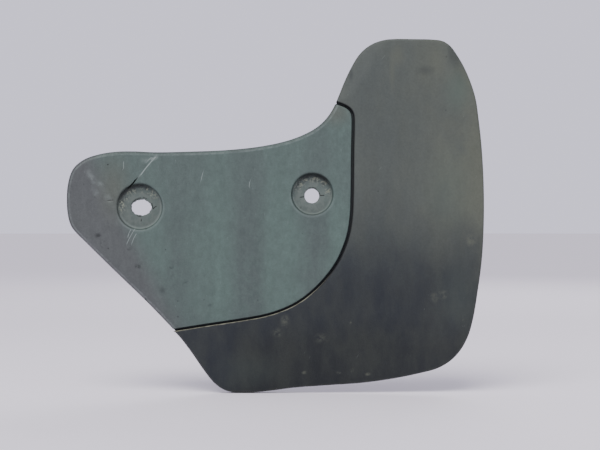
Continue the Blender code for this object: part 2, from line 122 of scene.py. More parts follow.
# The carrier's back and its two recessed fixing holes.
RIM_BACK_Y = -0.0005
RIB_BACK_Y = -0.0055
RECESS_FLOOR_Y = -0.0095
RECESS_TAPER = 0.0013
SEAT_BACK_Y = -0.0065
BEARING_WALL = 0.0034
BORE_RELIEF = 0.0012
BOSS_WALL = 0.0021
BOSS_RELIEF = 0.0023
BOSS_CLEARANCE = 0.0008
DRAFT = 0.00025
ROUND_HOLE = {
    "centre": (0.0, 0.0), "width": 0.0080, "length": 0.0080, "boss": (0.0002, 0.0008), "recess": 0.0118,
    "ragged": 0.00006, "shade": (0.12, 0.99),
}
SLOT_HOLE = {
    "centre": (-0.0937, -0.0064), "width": 0.0086, "length": 0.0112, "boss": (-0.0943, -0.0061), "recess": 0.0129,
    "ragged": 0.00020, "shade": (-0.38, 0.92),
}
HOLES = (ROUND_HOLE, SLOT_HOLE)
RIBS = [
    ((-0.0806, -0.0060), (-0.0128, -0.0010)), ((-0.0942, 0.0076), (-0.0942, 0.0232)),
    ((-0.1080, -0.0058), (-0.1344, -0.0031)), ((-0.0933, -0.0197), (-0.0906, -0.0572)),
    ((-0.0004, 0.0136), (-0.0010, 0.0347)), ((-0.0066, -0.0110), (-0.0260, -0.0440)),
    ((-0.0480, 0.0244), (-0.0480, -0.0500)),
]

# The clamped joint behind the seam: depths are counted back from the front face.
TONGUE_FRONT = 0.0028
TONGUE_BACK = 0.0051
TONGUE_REACH = 0.0155
LIP_REACH = 0.0030
RIM_CLEARANCE = 0.0006
GAP_END_INSET = 0.0004
CLAMP_TOP_Z = 0.0360
CLAMP_LEFT_X = -0.0620
STRIP_FRONT = 0.0056
STRIP_BACK = 0.0068
STRIP_NEAR = 0.0020
STRIP_FAR = 0.0130
SCREW_SHARES = (0.055, 0.325, 0.455, 0.580, 0.705, 0.830, 0.950)
SCREW_SEAT = 0.0071
SCREW_SHANK_RADIUS = 0.0015
SCREW_LENGTH = 0.0054
SCREW_HEAD_RADIUS = 0.0040
SCREW_HEAD_HEIGHT = 0.0019
STUD_RADIUS = 0.0032
STUD_BACK = 0.0050
PILOT_RADIUS = 0.0018

# Old damage on the carrier: each run of points, its half width, and how deep it is cut.
CRACK_HAIRLINE = [(-0.0856, 0.0212), (-0.0880, 0.0186), (-0.0910, 0.0150), (-0.0934, 0.0118), (-0.0966, 0.0086)]
CRACK_OPEN = [(-0.0967, 0.0085), (-0.0977, 0.0071), (-0.0990, 0.0058), (-0.1006, 0.0044)]
SCRATCHES = [
    [(-0.0970, -0.0182), (-0.0984, -0.0206), (-0.1001, -0.0236), (-0.1012, -0.0260)],
    [(-0.0961, -0.0208), (-0.0975, -0.0232), (-0.0985, -0.0258)],
    [(-0.0992, -0.0186), (-0.1002, -0.0206)],
    [(-0.0868, 0.0206), (-0.0880, 0.0198)],
    [(-0.0880, 0.0208), (-0.0896, 0.0194)],
    [(-0.0340, 0.0074), (-0.0343, 0.0050)],
    [(-0.0598, 0.0120), (-0.0604, 0.0092)],
    [(-0.1031, 0.0184), (-0.1031, 0.0152)],
]
SMEARS = [
    [
        (-0.1227, 0.0122), (-0.1212, 0.0101), (-0.1186, 0.0080), (-0.1165, 0.0065), (-0.1145, 0.0053),
        (-0.1130, 0.0032), (-0.1117, 0.0007), (-0.1113, -0.0020),
    ],
    [(-0.1195, 0.0062), (-0.1188, 0.0020), (-0.1180, -0.0015)],
    [(-0.0845, 0.0214), (-0.0905, 0.0196), (-0.0940, 0.0206)],
]
HAIRLINE = 0.00042
SCRATCH = 0.00026
SMEAR = 0.0012
GRIME = 0.00060
NICKS = [
    [(0.0043, 0.0001), (0.0067, 0.0002)], [(-0.0043, -0.0005), (-0.0060, -0.0008)],
    [(-0.0878, -0.0044), (-0.0871, -0.0072), (-0.0861, -0.0062)], [(-0.0936, -0.0132), (-0.0937, -0.0140)],
    [(-0.1110, -0.0025), (-0.1090, -0.0024)],
]
# Dark lines round the fixing holes' upper sides and the slot's lower edge: partly dirt, partly painted shade.
HOLE_GRIME_AND_SHADE = [
    [(-0.0992, -0.0054), (-0.0984, -0.0036), (-0.0968, -0.0021), (-0.0948, -0.0013), (-0.0925, -0.0010),
        (-0.0902, -0.0019)],
    [(-0.0988, -0.0087), (-0.0973, -0.0103), (-0.0952, -0.0112), (-0.0930, -0.0113)],
    [(-0.0030, 0.0036), (-0.0016, 0.0044), (0.0003, 0.0046), (0.0021, 0.0041), (0.0037, 0.0027), (0.0044, 0.0008)],
]


def linear(red, green, blue):
    """A colour given as screen values from 0 to 255, as the linear values that a shader takes."""
    found = []
    for value in (red / 255, green / 255, blue / 255):
        found.append(value / 12.92 if value <= 0.04045 else ((value + 0.055) / 1.055) ** 2.4)
    return (*found, 1.0)


def length_property(name, description, default):
    return FloatProperty(name=name, description=description, default=default, min=0.0, precision=5, unit="LENGTH")


def colour_property(name, description, default):
    return FloatVectorProperty(
        name=name, description=description, default=default, size=4, min=0.0, max=1.0, subtype="COLOR"
    )


class MudFlapSizes(bpy.types.PropertyGroup):
    """Sizes of the visible pieces that can change without a new frame."""

    seam_gap: length_property("Seam gap", "Width of the open gap between the carrier and the flap", 0.0013)
    mesh_step: length_property("Mesh step", "Distance between mesh points on the open faces", 0.0026)
    skin: length_property("Carrier skin", "Thickness of the carrier's front skin", 0.0025)
    rim_wall: length_property("Carrier rim", "Thickness of the wall round the carrier's outside edge", 0.0022)
    edge_round: length_property("Carrier edge radius", "Radius of the carrier's outside edge", 0.0013)
    lower_edge_round: length_property("Lower edge radius", "Radius of the carrier's lower left edge", 0.0040)
    seam_round: length_property("Seam edge radius", "Radius of the carrier's edge along the seam", 0.0004)
    flap_web: length_property("Flap web", "Thickness of the rubber flap", 0.0034)
    flap_edge_depth: length_property("Flap edge depth", "Thickness of the flap's edge bead", 0.0053)
    flap_edge_width: length_property("Flap edge width", "Width of the flap's edge bead", 0.0040)
    flap_round: length_property("Flap edge radius", "Radius of the flap's free edge", 0.0014)
    lip_round: length_property("Lip radius", "Radius of the flap's lip along the seam", 0.0006)
    lip_proud: length_property("Lip height", "How far the lip stands proud along the lower seam", 0.0008)
    crack_width: length_property("Crack width", "Width of the open end of the crack at the slotted hole", 0.0009)


class MudFlapColours(bpy.types.PropertyGroup):
    """Colours of the finishes."""

    # The dark and the light carrier colours are the ends of the painted sheen bands; the light one also tints pale
    # patches low on the plate.
    carrier_dark: colour_property("Carrier, dark", "Carrier plastic where it is least faded", linear(72, 82, 79))
    carrier_light_and_sheen: colour_property("Carrier, light", "Carrier plastic where it is most faded", linear(81, 99, 92))
    carrier_nose: colour_property("Carrier, left end", "Carrier plastic on the folded left end", linear(77, 79, 79))
    carrier_olive: colour_property("Carrier, olive film", "Thin dirt between the left end and the slot",
        linear(82, 87, 79))
    recess_dust: colour_property("Recess dust", "Dry dirt in the fixing recesses", linear(98, 107, 101))
    crust: colour_property("Crust", "Dry pale crust in the recesses' corners", linear(150, 155, 132))
    # The stress white is also the painted highlight on the recesses' rims.
    stress_white_and_highlight: colour_property("Stress white", "Scratched and stressed plastic", linear(150, 162, 157))
    # This dark colour is also the painted shade in the recesses, along the seam, round the fixing holes and low on the
    # flap.
    grime_and_shade: colour_property("Grime", "Dark dirt in pits, cracks and corners", linear(24, 28, 28))
    # The upper and lower flap colours are the ends of a downward darkening that is partly dust and partly painted
    # shade.
    flap_upper_dust_and_painted_light: colour_property("Flap, upper", "Dusty rubber on the upper part", linear(71, 77, 73))
    flap_lower_rubber_and_painted_shade: colour_property("Flap, lower", "Dark rubber on the lower part", linear(34, 39, 43))
    flap_warm: colour_property("Flap, warm dust", "Brown dust on the flap's free side", linear(87, 91, 79))
    flap_green: colour_property("Flap, green film", "Green film on the flap's free side", linear(79, 92, 83))
    # The lip colour is also a painted highlight on the lip's rounded edge.
    lip_dust_and_highlight: colour_property("Lip", "Worn, dusty lip along the lower seam", linear(152, 152, 132))
    strip_zinc: colour_property("Strip zinc", "Dull zinc on the clamp strip", linear(158, 156, 148))
    screw_zinc: colour_property("Screw zinc", "Plating on the tapping screws", linear(166, 162, 150))
    rust: colour_property("Rust", "Rust at worn edges of the steel", linear(112, 66, 38))
    # The near floor colour is painted light.
    floor_far: colour_property("Floor, far", "Pale floor behind the part", linear(226, 221, 230))
    floor_near: colour_property("Floor, near", "Pale floor in front of the part", linear(247, 242, 250))
    backdrop: colour_property("Backdrop", "Pale surroundings", linear(188, 186, 202))


class MudFlapLights(bpy.types.PropertyGroup):
    """The stage's light."""

    sky: FloatProperty(name="Sky light", description="Light that the pale surroundings give", default=1.10, min=0.0)
    backdrop: FloatProperty(name="Backdrop", description="How bright the surroundings show", default=1.87, min=0.0)
    sun: FloatProperty(name="Soft sun", description="Strength of the wide soft sun above the front",
        default=2.2, min=0.0)
    panel: FloatProperty(
        name="Light panel", description="Power of the soft panel above the front", default=4.0, min=0.0, unit="POWER"
    )


# Lines and areas in the plane of the plate.


def smooth_run(points, step=OUTLINE_STEP):
    """The centripetal Catmull-Rom curve through the points, as rows about a step apart."""
    knots = [Vector(p) for p in points]
    knots = [2 * knots[0] - knots[1], *knots, 2 * knots[-1] - knots[-2]]
    run = []
    for p0, p1, p2, p3 in zip(knots, knots[1:], knots[2:], knots[3:]):
        t1 = (p1 - p0).length ** 0.5
        t2 = t1 + (p2 - p1).length ** 0.5
        t3 = t2 + (p3 - p2).length ** 0.5
        pieces = max(1, math.ceil((p2 - p1).length / step))
        for k in range(pieces):
            t = t1 + (t2 - t1) * k / pieces
            a1 = p0.lerp(p1, t / t1)
            a2 = p1.lerp(p2, (t - t1) / (t2 - t1))
            a3 = p2.lerp(p3, (t - t2) / (t3 - t2))
            b1 = a1.lerp(a2, t / t2)
            b2 = a2.lerp(a3, (t - t1) / (t3 - t1))
            run.append(b1.lerp(b2, (t - t1) / (t2 - t1)))
    return np.array([*run, knots[-2]])


def unit(rows):
    return rows / np.maximum(np.linalg.norm(rows, axis=1, keepdims=True), 1e-12)


def offset_run(run, distance, closed=False):
    """The run moved to the left of its direction by a distance, or by one distance for each point."""
    before = np.roll(run, 1, axis=0)
    after = np.roll(run, -1, axis=0)
    if not closed:
        before[0] = 2 * run[0] - run[1]
        after[-1] = 2 * run[-1] - run[-2]
    into = unit(run - before)
    out = unit(after - run)
    left_in = np.stack([-into[:, 1], into[:, 0]], axis=1)
    left_out = np.stack([-out[:, 1], out[:, 0]], axis=1)
    mitre = unit(left_in + left_out)
    reach = distance / np.maximum(0.5, (mitre * left_in).sum(axis=1))
    return run + mitre * np.reshape(reach, (-1, 1))


def nearest_on_run(points, run, closed=False):
    """For each point, its distance from the run and how far along the run the nearest place is, counted in points."""
    ends = np.roll(run, -1, axis=0) if closed else run[1:]
    best = np.full(len(points), np.inf)
    along = np.zeros(len(points))
    for i, (a, b) in enumerate(zip(run, ends)):
        step = b - a
        share = np.clip(((points - a) @ step) / max(step @ step, 1e-18), 0, 1)
        distance = np.linalg.norm(points - a - share[:, None] * step, axis=1)
        closer = distance < best
        best[closer] = distance[closer]
        along[closer] = i + share[closer]
    return best, along


def inside_loop(points, loop):
    """Which points are inside a closed loop."""
    inside = np.zeros(len(points), bool)
    for (x1, z1), (x2, z2) in zip(loop, np.roll(loop, -1, axis=0)):
        if z1 != z2:
            crosses = (points[:, 1] > z1) != (points[:, 1] > z2)
            inside ^= crosses & (points[:, 0] < (x2 - x1) * (points[:, 1] - z1) / (z2 - z1) + x1)
    return inside


def circle(centre, radius, count=48):
    angles = np.arange(count) * 2 * math.pi / count
    return np.stack([centre[0] + radius * np.cos(angles), centre[1] + radius * np.sin(angles)], axis=1)


def hole_edge(hole, ragged=False, count=72):
    """A fixing hole's outline, long along X; ragged adds the tears of a worn edge."""
    angles = (np.arange(count) + 0.5) * 2 * math.pi / count
    worn = np.zeros(count)
    if ragged:
        worn = hole["ragged"] * (np.sin(5 * angles + 1.0) + np.sin(9 * angles + 2.2) + np.sin(16 * angles)) / 2
    x = hole["centre"][0] + (hole["length"] / 2 + worn) * np.cos(angles)
    z = hole["centre"][1] + (hole["width"] / 2 + worn) * np.sin(angles)
    return np.stack([x, z], axis=1)


def hole_loop(hole, grow):
    """The line that runs round a fixing hole at a distance from its edge."""
    return offset_run(hole_edge(hole), -grow, closed=True)


def from_hole(points, hole):
    """How far each point is from a fixing hole's edge."""
    return nearest_on_run(points, hole_edge(hole), closed=True)[0]


def between_seam_ends(edge):
    """A smooth edge without its ends, which the seam's own ends take over."""
    run = smooth_run(edge)
    far = np.ones(len(run), bool)
    for end in (UPPER_SEAM_END, LOWER_SEAM_END):
        far &= np.linalg.norm(run - np.array(end), axis=1) > 0.0012
    return run[far]


def carrier_outline(gap):
    """The carrier's closed outline, and which of its points lie on the seam."""
    outer = between_seam_ends(CARRIER_EDGE)
    seam = offset_run(smooth_run(SEAM), -gap / 2)[::-1]
    return np.vstack([outer, seam]), np.repeat([False, True], [len(outer), len(seam)])


def flap_outline(gap):
    """The flap's closed outline, and which of its points lie on the seam."""
    outer = between_seam_ends(FLAP_EDGE)
    seam = offset_run(smooth_run(SEAM), gap / 2)
    return np.vstack([outer, seam]), np.repeat([False, True], [len(outer), len(seam)])


def clamped_seam():
    run = smooth_run(SEAM)
    return run[(run[:, 1] < CLAMP_TOP_Z) & (run[:, 0] > CLAMP_LEFT_X)]


def seam_band(run, near, far):
    return np.vstack([offset_run(run, -far), offset_run(run, -near)[::-1]])


def screw_places():
    """Points along the middle of the clamp strip, clear of the round hole's boss."""
    line = offset_run(clamped_seam(), -(STRIP_NEAR + STRIP_FAR) / 2)
    lengths = np.concatenate([[0], np.cumsum(np.linalg.norm(np.diff(line, axis=0), axis=1))])
    places = lengths[-1] * np.array(SCREW_SHARES)
    return np.stack([np.interp(places, lengths, line[:, 0]), np.interp(places, lengths, line[:, 1])], axis=1)


# Heights: how far back each face lies, for rows of points in the plane of the plate.


def ease(value, low, high):
    """0 below low, 1 above high, and a smooth rise between them."""
    share = np.clip((value - low) / (high - low), 0, 1)
    return share * share * (3 - 2 * share)


def ramp(value, low, high):
    return np.clip((value - low) / (high - low), 0, 1)


def front_y(points):
    """Y of the plate's front face."""
    x, z = points[:, 0], points[:, 1]
    crown = (x - CROWN_CENTRE[0]) ** 2 / (2 * CROWN_RADIUS_X) + (z - CROWN_CENTRE[1]) ** 2 / (2 * CROWN_RADIUS_Z)
    raised = (z + np.hypot(z, 0.004)) / 2
    past_nose = NOSE_X - NOSE_LEAN * raised - x
    nose = NOSE_SLOPE * (past_nose + np.hypot(past_nose, NOSE_CREASE)) / 2
    skirt = np.maximum(0, SKIRT_Z - z) ** 2 / (2 * SKIRT_RADIUS)
    return -CARRIER_DEPTH + crown + nose + skirt


def flap_front_y(points, proud):
    """Y of the flap's front face: proud along the lower seam, and folded back a little at its upper corners."""
    x, z = points[:, 0], points[:, 1]
    lifted = proud * ease(-z, 0.010, 0.050) * (0.35 + 0.65 * (1 - ease(x - z, 0.070, 0.110)))
    right_fold = 0.30 * np.maximum(0, x - FOLD_LINE[0][0] - 0.28 * (FOLD_LINE[0][1] - z)) * ease(z, 0.050, 0.068)
    left_fold = 0.16 * np.maximum(0, (z - 0.046) * 0.62 - (x - 0.0165)) * ease(z, 0.050, 0.060)
    return front_y(points) - lifted + right_fold + left_fold


def edge_drop(distance, radius):
    """How far a rounded edge has fallen back at a distance inside it."""
    short = np.maximum(0, radius - distance)
    return radius - np.sqrt(np.maximum(0, radius**2 - short**2))


def fillet_step(share, bend=0.28):
    """A straight slope from 0 to 1 with rounded ends."""
    share = np.clip(share, 0, 1)
    slope = 1 / (1 - bend)
    start = slope * share**2 / (2 * bend)
    end = 1 - slope * (1 - share) ** 2 / (2 * bend)
    return np.where(share < bend, start, np.where(share > 1 - bend, end, slope * (share - bend / 2)))


def line_strength(points, lines, half_width):
    """1 on any of the lines, falling to 0 at the half width."""
    strength = np.zeros(len(points))
    for line in lines:
        distance, _ = nearest_on_run(points, np.array(line))
        strength = np.maximum(strength, 1 - distance / half_width)
    return np.clip(strength, 0, 1)


# Meshes.

ROUND_SHARES = (0.0, 0.05, 0.19, 0.41, 0.69, 1.0)


def rounding_loops(outline, radii):
    """The outline and the lines inside it that its rounded edge needs."""
    return [offset_run(outline, radii * share, closed=True) for share in ROUND_SHARES]


def damage_runs(lines, half_width):
    """The middle and both sides of each line, for a groove or a mark as narrow as the half width."""
    runs = []
    for line in lines:
        run = np.array(line)
        runs.extend([run, offset_run(run, half_width), offset_run(run, -half_width)])
    return runs


def flat_mesh(keep, loops, runs, step):
    """Points and triangles of the area that keep accepts, with mesh edges along every loop and run."""
    points = []
    edges = []
    for closed, line in [(True, loop) for loop in loops] + [(False, run) for run in runs]:
        first = len(points)
        points.extend(line)
        edges.extend((first + i, first + i + 1) for i in range(len(line) - 1))
        if closed:
            edges.append((first + len(line) - 1, first))
    lines = np.array(points)
    tree = KDTree(len(lines))
    for i, (x, z) in enumerate(lines):
        tree.insert((x, z, 0), i)
    tree.balance()
    low, high = lines.min(axis=0), lines.max(axis=0)
    rows = np.arange(low[1], high[1], step * 0.87)
    columns = np.arange(low[0], high[0], step)
    grid = np.array([(x + (r % 2) * step / 2, z) for r, z in enumerate(rows) for x in columns])
    grid = grid[keep(grid)]
    points.extend(p for p in grid if tree.find((*p, 0))[2] > step * 0.45)
    found = delaunay_2d_cdt([Vector(p) for p in points], edges, [], 0, 1e-7)
    places = np.array([tuple(p) for p in found[0]])
    triangles = np.array(found[2])
    corners = places[triangles]
    sides = corners[:, 1:] - corners[:, :1]
    area = sides[:, 0, 0] * sides[:, 1, 1] - sides[:, 0, 1] * sides[:, 1, 0]
    triangles = triangles[keep(corners.mean(axis=1)) & (area > 1e-12)]
    used, compact = np.unique(triangles, return_inverse=True)
    return places[used], compact.reshape(-1, 3)


def plate_mesh(name, points, triangles, front, back, masks):
    """A closed mesh between a front and a back height, with each mask as a point attribute on both faces."""
    count = len(points)
    places = np.vstack([np.stack([points[:, 0], y, points[:, 1]], axis=1) for y in (front, back)])
    sides = {(a, b) for t in triangles.tolist() for a, b in zip(t, t[1:] + t[:1])}
    walls = [(b, a, a + count, b + count) for a, b in sides if (b, a) not in sides]
    faces = triangles.tolist() + (triangles[:, ::-1] + count).tolist() + walls
    mesh = bpy.data.meshes.new(name)
    mesh.from_pydata(places.tolist(), [], faces)
    for mask, values in {**masks, "front": (np.ones(count), np.zeros(count))}.items():
        both = values if isinstance(values, tuple) else (values, values)
        attribute = mesh.attributes.new(mask, "FLOAT", "POINT")
        attribute.data.foreach_set("value", np.concatenate(both).astype(np.float32))
    mesh.shade_smooth()
    mesh.set_sharp_from_angle(angle=math.radians(38))
    return mesh


def new_piece(name, mesh, material):
    """A finished mesh as an object at the origin, with its material."""
    piece = bpy.data.objects.new(name, mesh)
    bpy.context.scene.collection.objects.link(piece)
    mesh.materials.clear()
    mesh.materials.append(material)
    return piece


def back_matrix(place, depth):
    """A frame at a depth behind the front face, with its Z axis along the face's normal, towards the vehicle."""
    step = 0.001
    near = np.array([place, (place[0] + step, place[1]), (place[0], place[1] + step)])
    y, y_right, y_up = front_y(near)
    normal = Vector(((y - y_right) / step, 1.0, (y - y_up) / step)).normalized()
    turn = normal.to_track_quat("Z", "Y").to_matrix().to_4x4()
    return Matrix.Translation(Vector((place[0], y, place[1])) + normal * depth) @ turn


def turned_mesh(name, profile, steps=36):
    """A profile of (radius, height) points turned about Z, closed where it meets the axis."""
    bm = bmesh.new()
    verts = [bm.verts.new((radius, 0, height)) for radius, height in profile]
    edges = [bm.edges.new(pair) for pair in zip(verts, verts[1:])]
    if profile[0][0] > 0:
        edges.append(bm.edges.new((verts[-1], verts[0])))
    bmesh.ops.spin(
        bm, geom=verts + edges, cent=(0, 0, 0), axis=(0, 0, 1), angle=2 * math.pi, steps=steps, use_duplicate=False
    )
    bmesh.ops.remove_doubles(bm, verts=bm.verts, dist=1e-6)
    bmesh.ops.recalc_face_normals(bm, faces=bm.faces)
    mesh = bpy.data.meshes.new(name)
    bm.to_mesh(mesh)
    bm.free()
    mesh.shade_smooth()
    mesh.set_sharp_from_angle(angle=math.radians(35))
    return mesh


# Geometry Nodes: one tree that puts copies of a part on points.


def copies_tree():
    """Puts a copy of a part on every point, turned and sized as the point's attributes say."""
    tree = bpy.data.node_groups.get("Copies on points")
    if tree:
        return tree
    tree = bpy.data.node_groups.new("Copies on points", "GeometryNodeTree")
    sockets = tree.interface
    sockets.new_socket("Geometry", in_out="INPUT", socket_type="NodeSocketGeometry")
    sockets.new_socket("Part", in_out="INPUT", socket_type="NodeSocketObject")
    size = sockets.new_socket("Size", in_out="INPUT", socket_type="NodeSocketFloat")
    size.default_value = 1.0
    sockets.new_socket("Material", in_out="INPUT", socket_type="NodeSocketMaterial")
    sockets.new_socket("Geometry", in_out="OUTPUT", socket_type="NodeSocketGeometry")
    given = tree.nodes.new("NodeGroupInput")
    part = add_node(tree, "GeometryNodeObjectInfo", {"Object": given.outputs["Part"]})
    turn = add_node(tree, "GeometryNodeInputNamedAttribute", {"Name": "turn"}, data_type="FLOAT_VECTOR")
    turned = add_node(tree, "FunctionNodeEulerToRotation", {"Euler": turn.outputs["Attribute"]})
    stretch = add_node(tree, "GeometryNodeInputNamedAttribute", {"Name": "stretch"}, data_type="FLOAT_VECTOR")
    scale = add_node(
        tree, "ShaderNodeVectorMath", {0: stretch.outputs["Attribute"], "Scale": given.outputs["Size"]},
        operation="SCALE"
    )
    copies = add_node(tree, "GeometryNodeInstanceOnPoints", {
        "Points": given.outputs["Geometry"], "Instance": part.outputs["Geometry"],
        "Rotation": turned.outputs["Rotation"], "Scale": scale.outputs["Vector"],
    })
    real = add_node(tree, "GeometryNodeRealizeInstances", {"Geometry": copies.outputs["Instances"]})
    finished = add_node(tree, "GeometryNodeSetMaterial", {
        "Geometry": real.outputs["Geometry"], "Material": given.outputs["Material"],
    })
    add_node(tree, "NodeGroupOutput", {"Geometry": finished.outputs["Geometry"]})
    return tree


def copies_mesh(name, part_mesh, matrices, stretches, material):
    """One plain mesh of copies of a part, one for each matrix."""
    part = bpy.data.objects.new(name + "_part", part_mesh)
    bpy.context.scene.collection.objects.link(part)
    points = bpy.data.meshes.new(name + "_points")
    points.from_pydata([m.translation for m in matrices], [], [])
    for attribute, rows in (("turn", [m.to_euler() for m in matrices]), ("stretch", stretches)):
        data = points.attributes.new(attribute, "FLOAT_VECTOR", "POINT").data
        data.foreach_set("vector", np.array([tuple(row) for row in rows], np.float32).ravel())
    holder = bpy.data.objects.new(name + "_points", points)
    bpy.context.scene.collection.objects.link(holder)
    modifier = holder.modifiers.new("Copies", "NODES")
    tree = copies_tree()
    keys = {s.name: s.identifier for s in tree.interface.items_tree if s.in_out == "INPUT"}
    modifier.node_group = tree
    modifier[keys["Part"]] = part
    modifier[keys["Size"]] = 1.0
    modifier[keys["Material"]] = material
    bpy.context.view_layer.update()
    mesh = bpy.data.meshes.new_from_object(holder.evaluated_get(bpy.context.evaluated_depsgraph_get()))
    for spare in (holder, part):
        bpy.data.objects.remove(spare)
    return mesh


# Materials: shared effects are node groups, and each material places them with its own values.


def add_node(tree, kind, inputs=None, **settings):
    """A node with its settings, and its sockets set to values or joined to other sockets."""
    node = tree.nodes.new(kind)
    for name, value in settings.items():
        setattr(node, name, value)
    for socket, value in (inputs or {}).items():
        if isinstance(value, bpy.types.NodeSocket):
            tree.links.new(value, node.inputs[socket])
        else:
            node.inputs[socket].default_value = value
    return node


def math_node(tree, operation, a, b=0.0):
    return add_node(tree, "ShaderNodeMath", {0: a, 1: b}, operation=operation).outputs[0]


def rise(tree, value, low, high, to_low=0.0, to_high=1.0):
    """A smooth change from one output value to another as the value passes from low to high."""
    inputs = {"Value": value, "From Min": low, "From Max": high, "To Min": to_low, "To Max": to_high}
    return add_node(tree, "ShaderNodeMapRange", inputs, interpolation_type="SMOOTHSTEP").outputs["Result"]


def blend_colour(tree, share, below, above, kind="MIX"):
    inputs = {0: share, 6: below, 7: above}
    return add_node(tree, "ShaderNodeMix", inputs, data_type="RGBA", blend_type=kind).outputs[2]


def mask_input(tree, name):
    return add_node(tree, "ShaderNodeAttribute", attribute_name=name).outputs["Fac"]


def effect_group(name, inputs, outputs, build):
    """A shared effect: a shader node group with named inputs and outputs, built once."""
    group = bpy.data.node_groups.get(name)
    if group:
        return group
    group = bpy.data.node_groups.new(name, "ShaderNodeTree")
    for label, default in inputs.items():
        kind = "NodeSocketFloat" if isinstance(default, float) else "NodeSocketVector"
        socket = group.interface.new_socket(label, in_out="INPUT", socket_type=kind)
        if isinstance(default, float):
            socket.default_value = default
    for label in outputs:
        group.interface.new_socket(label, in_out="OUTPUT", socket_type="NodeSocketFloat")
    given = group.nodes.new("NodeGroupInput").outputs
    add_node(group, "NodeGroupOutput", build(group, given))
    return group


def build_clouds(tree, given):
    scaled = add_node(tree, "ShaderNodeVectorMath", {0: given["Position"], 1: given["Stretch"]}, operation="MULTIPLY")
    size = math_node(tree, "DIVIDE", 1.0, given["Size"])
    noise = add_node(
        tree, "ShaderNodeTexNoise", {"Vector": scaled.outputs["Vector"], "Scale": size, "Detail": 5.0, "Roughness": 0.6}
    )
    low = math_node(tree, "SUBTRACT", 0.5, given["Softness"])
    high = math_node(tree, "ADD", 0.5, given["Softness"])
    return {"Mask": rise(tree, noise.outputs["Fac"], low, high)}


def build_specks(tree, given):
    size = math_node(tree, "DIVIDE", 1.0, given["Spacing"])
    cells = add_node(tree, "ShaderNodeTexVoronoi", {"Vector": given["Position"], "Scale": size, "Randomness": 1.0})
    chosen = add_node(tree, "ShaderNodeSeparateColor", {"Color": cells.outputs["Color"]})
    kept = math_node(tree, "LESS_THAN", chosen.outputs["Red"], given["Share"])
    radius = math_node(tree, "MULTIPLY", given["Radius"], math_node(tree, "ADD", chosen.outputs["Green"], 0.3))
    near = rise(tree, cells.outputs["Distance"], radius, math_node(tree, "MULTIPLY", radius, 0.4))
    return {"Mask": math_node(tree, "MULTIPLY", near, kept)}


def build_scratches(tree, given):
    turned = add_node(tree, "ShaderNodeVectorRotate", {
        "Vector": given["Position"], "Axis": (0.0, 1.0, 0.0), "Angle": given["Angle"],
    })
    bent = add_node(tree, "ShaderNodeTexNoise", {"Vector": given["Position"], "Scale": 60.0})
    shift = math_node(tree, "MULTIPLY", bent.outputs["Fac"], 0.006)
    parts = add_node(tree, "ShaderNodeSeparateXYZ", {"Vector": turned.outputs["Vector"]})
    across = math_node(tree, "DIVIDE", math_node(tree, "ADD", parts.outputs["X"], shift), given["Spacing"])
    lengthwise = math_node(tree, "DIVIDE", parts.outputs["Z"], math_node(tree, "MULTIPLY", given["Spacing"], 9.0))
    spread = add_node(tree, "ShaderNodeCombineXYZ", {"X": across, "Y": 0.0, "Z": lengthwise})
    cells = add_node(tree, "ShaderNodeTexNoise", {"Vector": spread.outputs["Vector"], "Scale": 4.0, "Detail": 2.0})
    peak = math_node(tree, "SUBTRACT", 0.80, math_node(tree, "MULTIPLY", given["Share"], 0.25))
    return {"Mask": rise(tree, cells.outputs["Fac"], peak, math_node(tree, "ADD", peak, 0.05))}


def build_grain(tree, given):
    fine = add_node(tree, "ShaderNodeTexNoise", {
        "Vector": given["Position"], "Scale": math_node(tree, "DIVIDE", 1.0, given["Size"]), "Detail": 3.0,
    })
    waves = add_node(tree, "ShaderNodeTexNoise", {"Vector": given["Position"], "Scale": 45.0, "Detail": 1.0})
    return {"Height": math_node(tree, "ADD", fine.outputs["Fac"],
        math_node(tree, "MULTIPLY", waves.outputs["Fac"], 3.0))}


def build_mottle(tree, given):
    scaled = add_node(tree, "ShaderNodeVectorMath", {0: given["Position"], 1: given["Stretch"]}, operation="MULTIPLY")
    noise = add_node(tree, "ShaderNodeTexNoise", {
        "Vector": scaled.outputs["Vector"], "Scale": math_node(tree, "DIVIDE", 1.0, given["Size"]),
        "Detail": 4.0, "Roughness": 0.65,
    })
    swing = math_node(tree, "MULTIPLY", math_node(tree, "SUBTRACT", noise.outputs["Fac"], 0.5), given["Depth"])
    return {"Level": math_node(tree, "ADD", 1.0, swing)}


def build_edge_wear(tree, given):
    noise = add_node(tree, "ShaderNodeTexNoise", {"Vector": given["Position"], "Scale": 220.0, "Detail": 4.0})
    reach = math_node(tree, "MULTIPLY", given["Width"], math_node(tree, "MULTIPLY", noise.outputs["Fac"], 2.0))
    return {"Mask": rise(tree, given["Distance"], reach, 0.0)}


def effect(tree, name, position, **values):
    """Places a shared effect in a material's tree and returns its output."""
    kinds = {
        "Clouds": ({"Size": 0.02, "Softness": 0.15, "Stretch": None}, "Mask", build_clouds),
        "Specks": ({"Spacing": 0.01, "Radius": 0.1, "Share": 0.5}, "Mask", build_specks),
        "Scratches": ({"Angle": 0.0, "Spacing": 0.002, "Share": 0.5}, "Mask", build_scratches),
        "Moulded grain": ({"Size": 0.0006}, "Height", build_grain),
        "Edge wear": ({"Distance": 0.0, "Width": 1.0}, "Mask", build_edge_wear),
        "Mottle": ({"Size": 0.002, "Depth": 0.3, "Stretch": None}, "Level", build_mottle),
    }
    inputs, output, build = kinds[name]
    group = effect_group(name, {"Position": None, **inputs}, [output], build)
    node = add_node(tree, "ShaderNodeGroup", node_tree=group)
    tree.links.new(position, node.inputs["Position"])
    if "Stretch" in inputs:
        node.inputs["Stretch"].default_value = values.pop("Stretch", (1.0, 1.0, 1.0))
    for label, value in values.items():
        if isinstance(value, bpy.types.NodeSocket):
            tree.links.new(value, node.inputs[label])
        else:
            node.inputs[label].default_value = value
    return node.outputs[output]


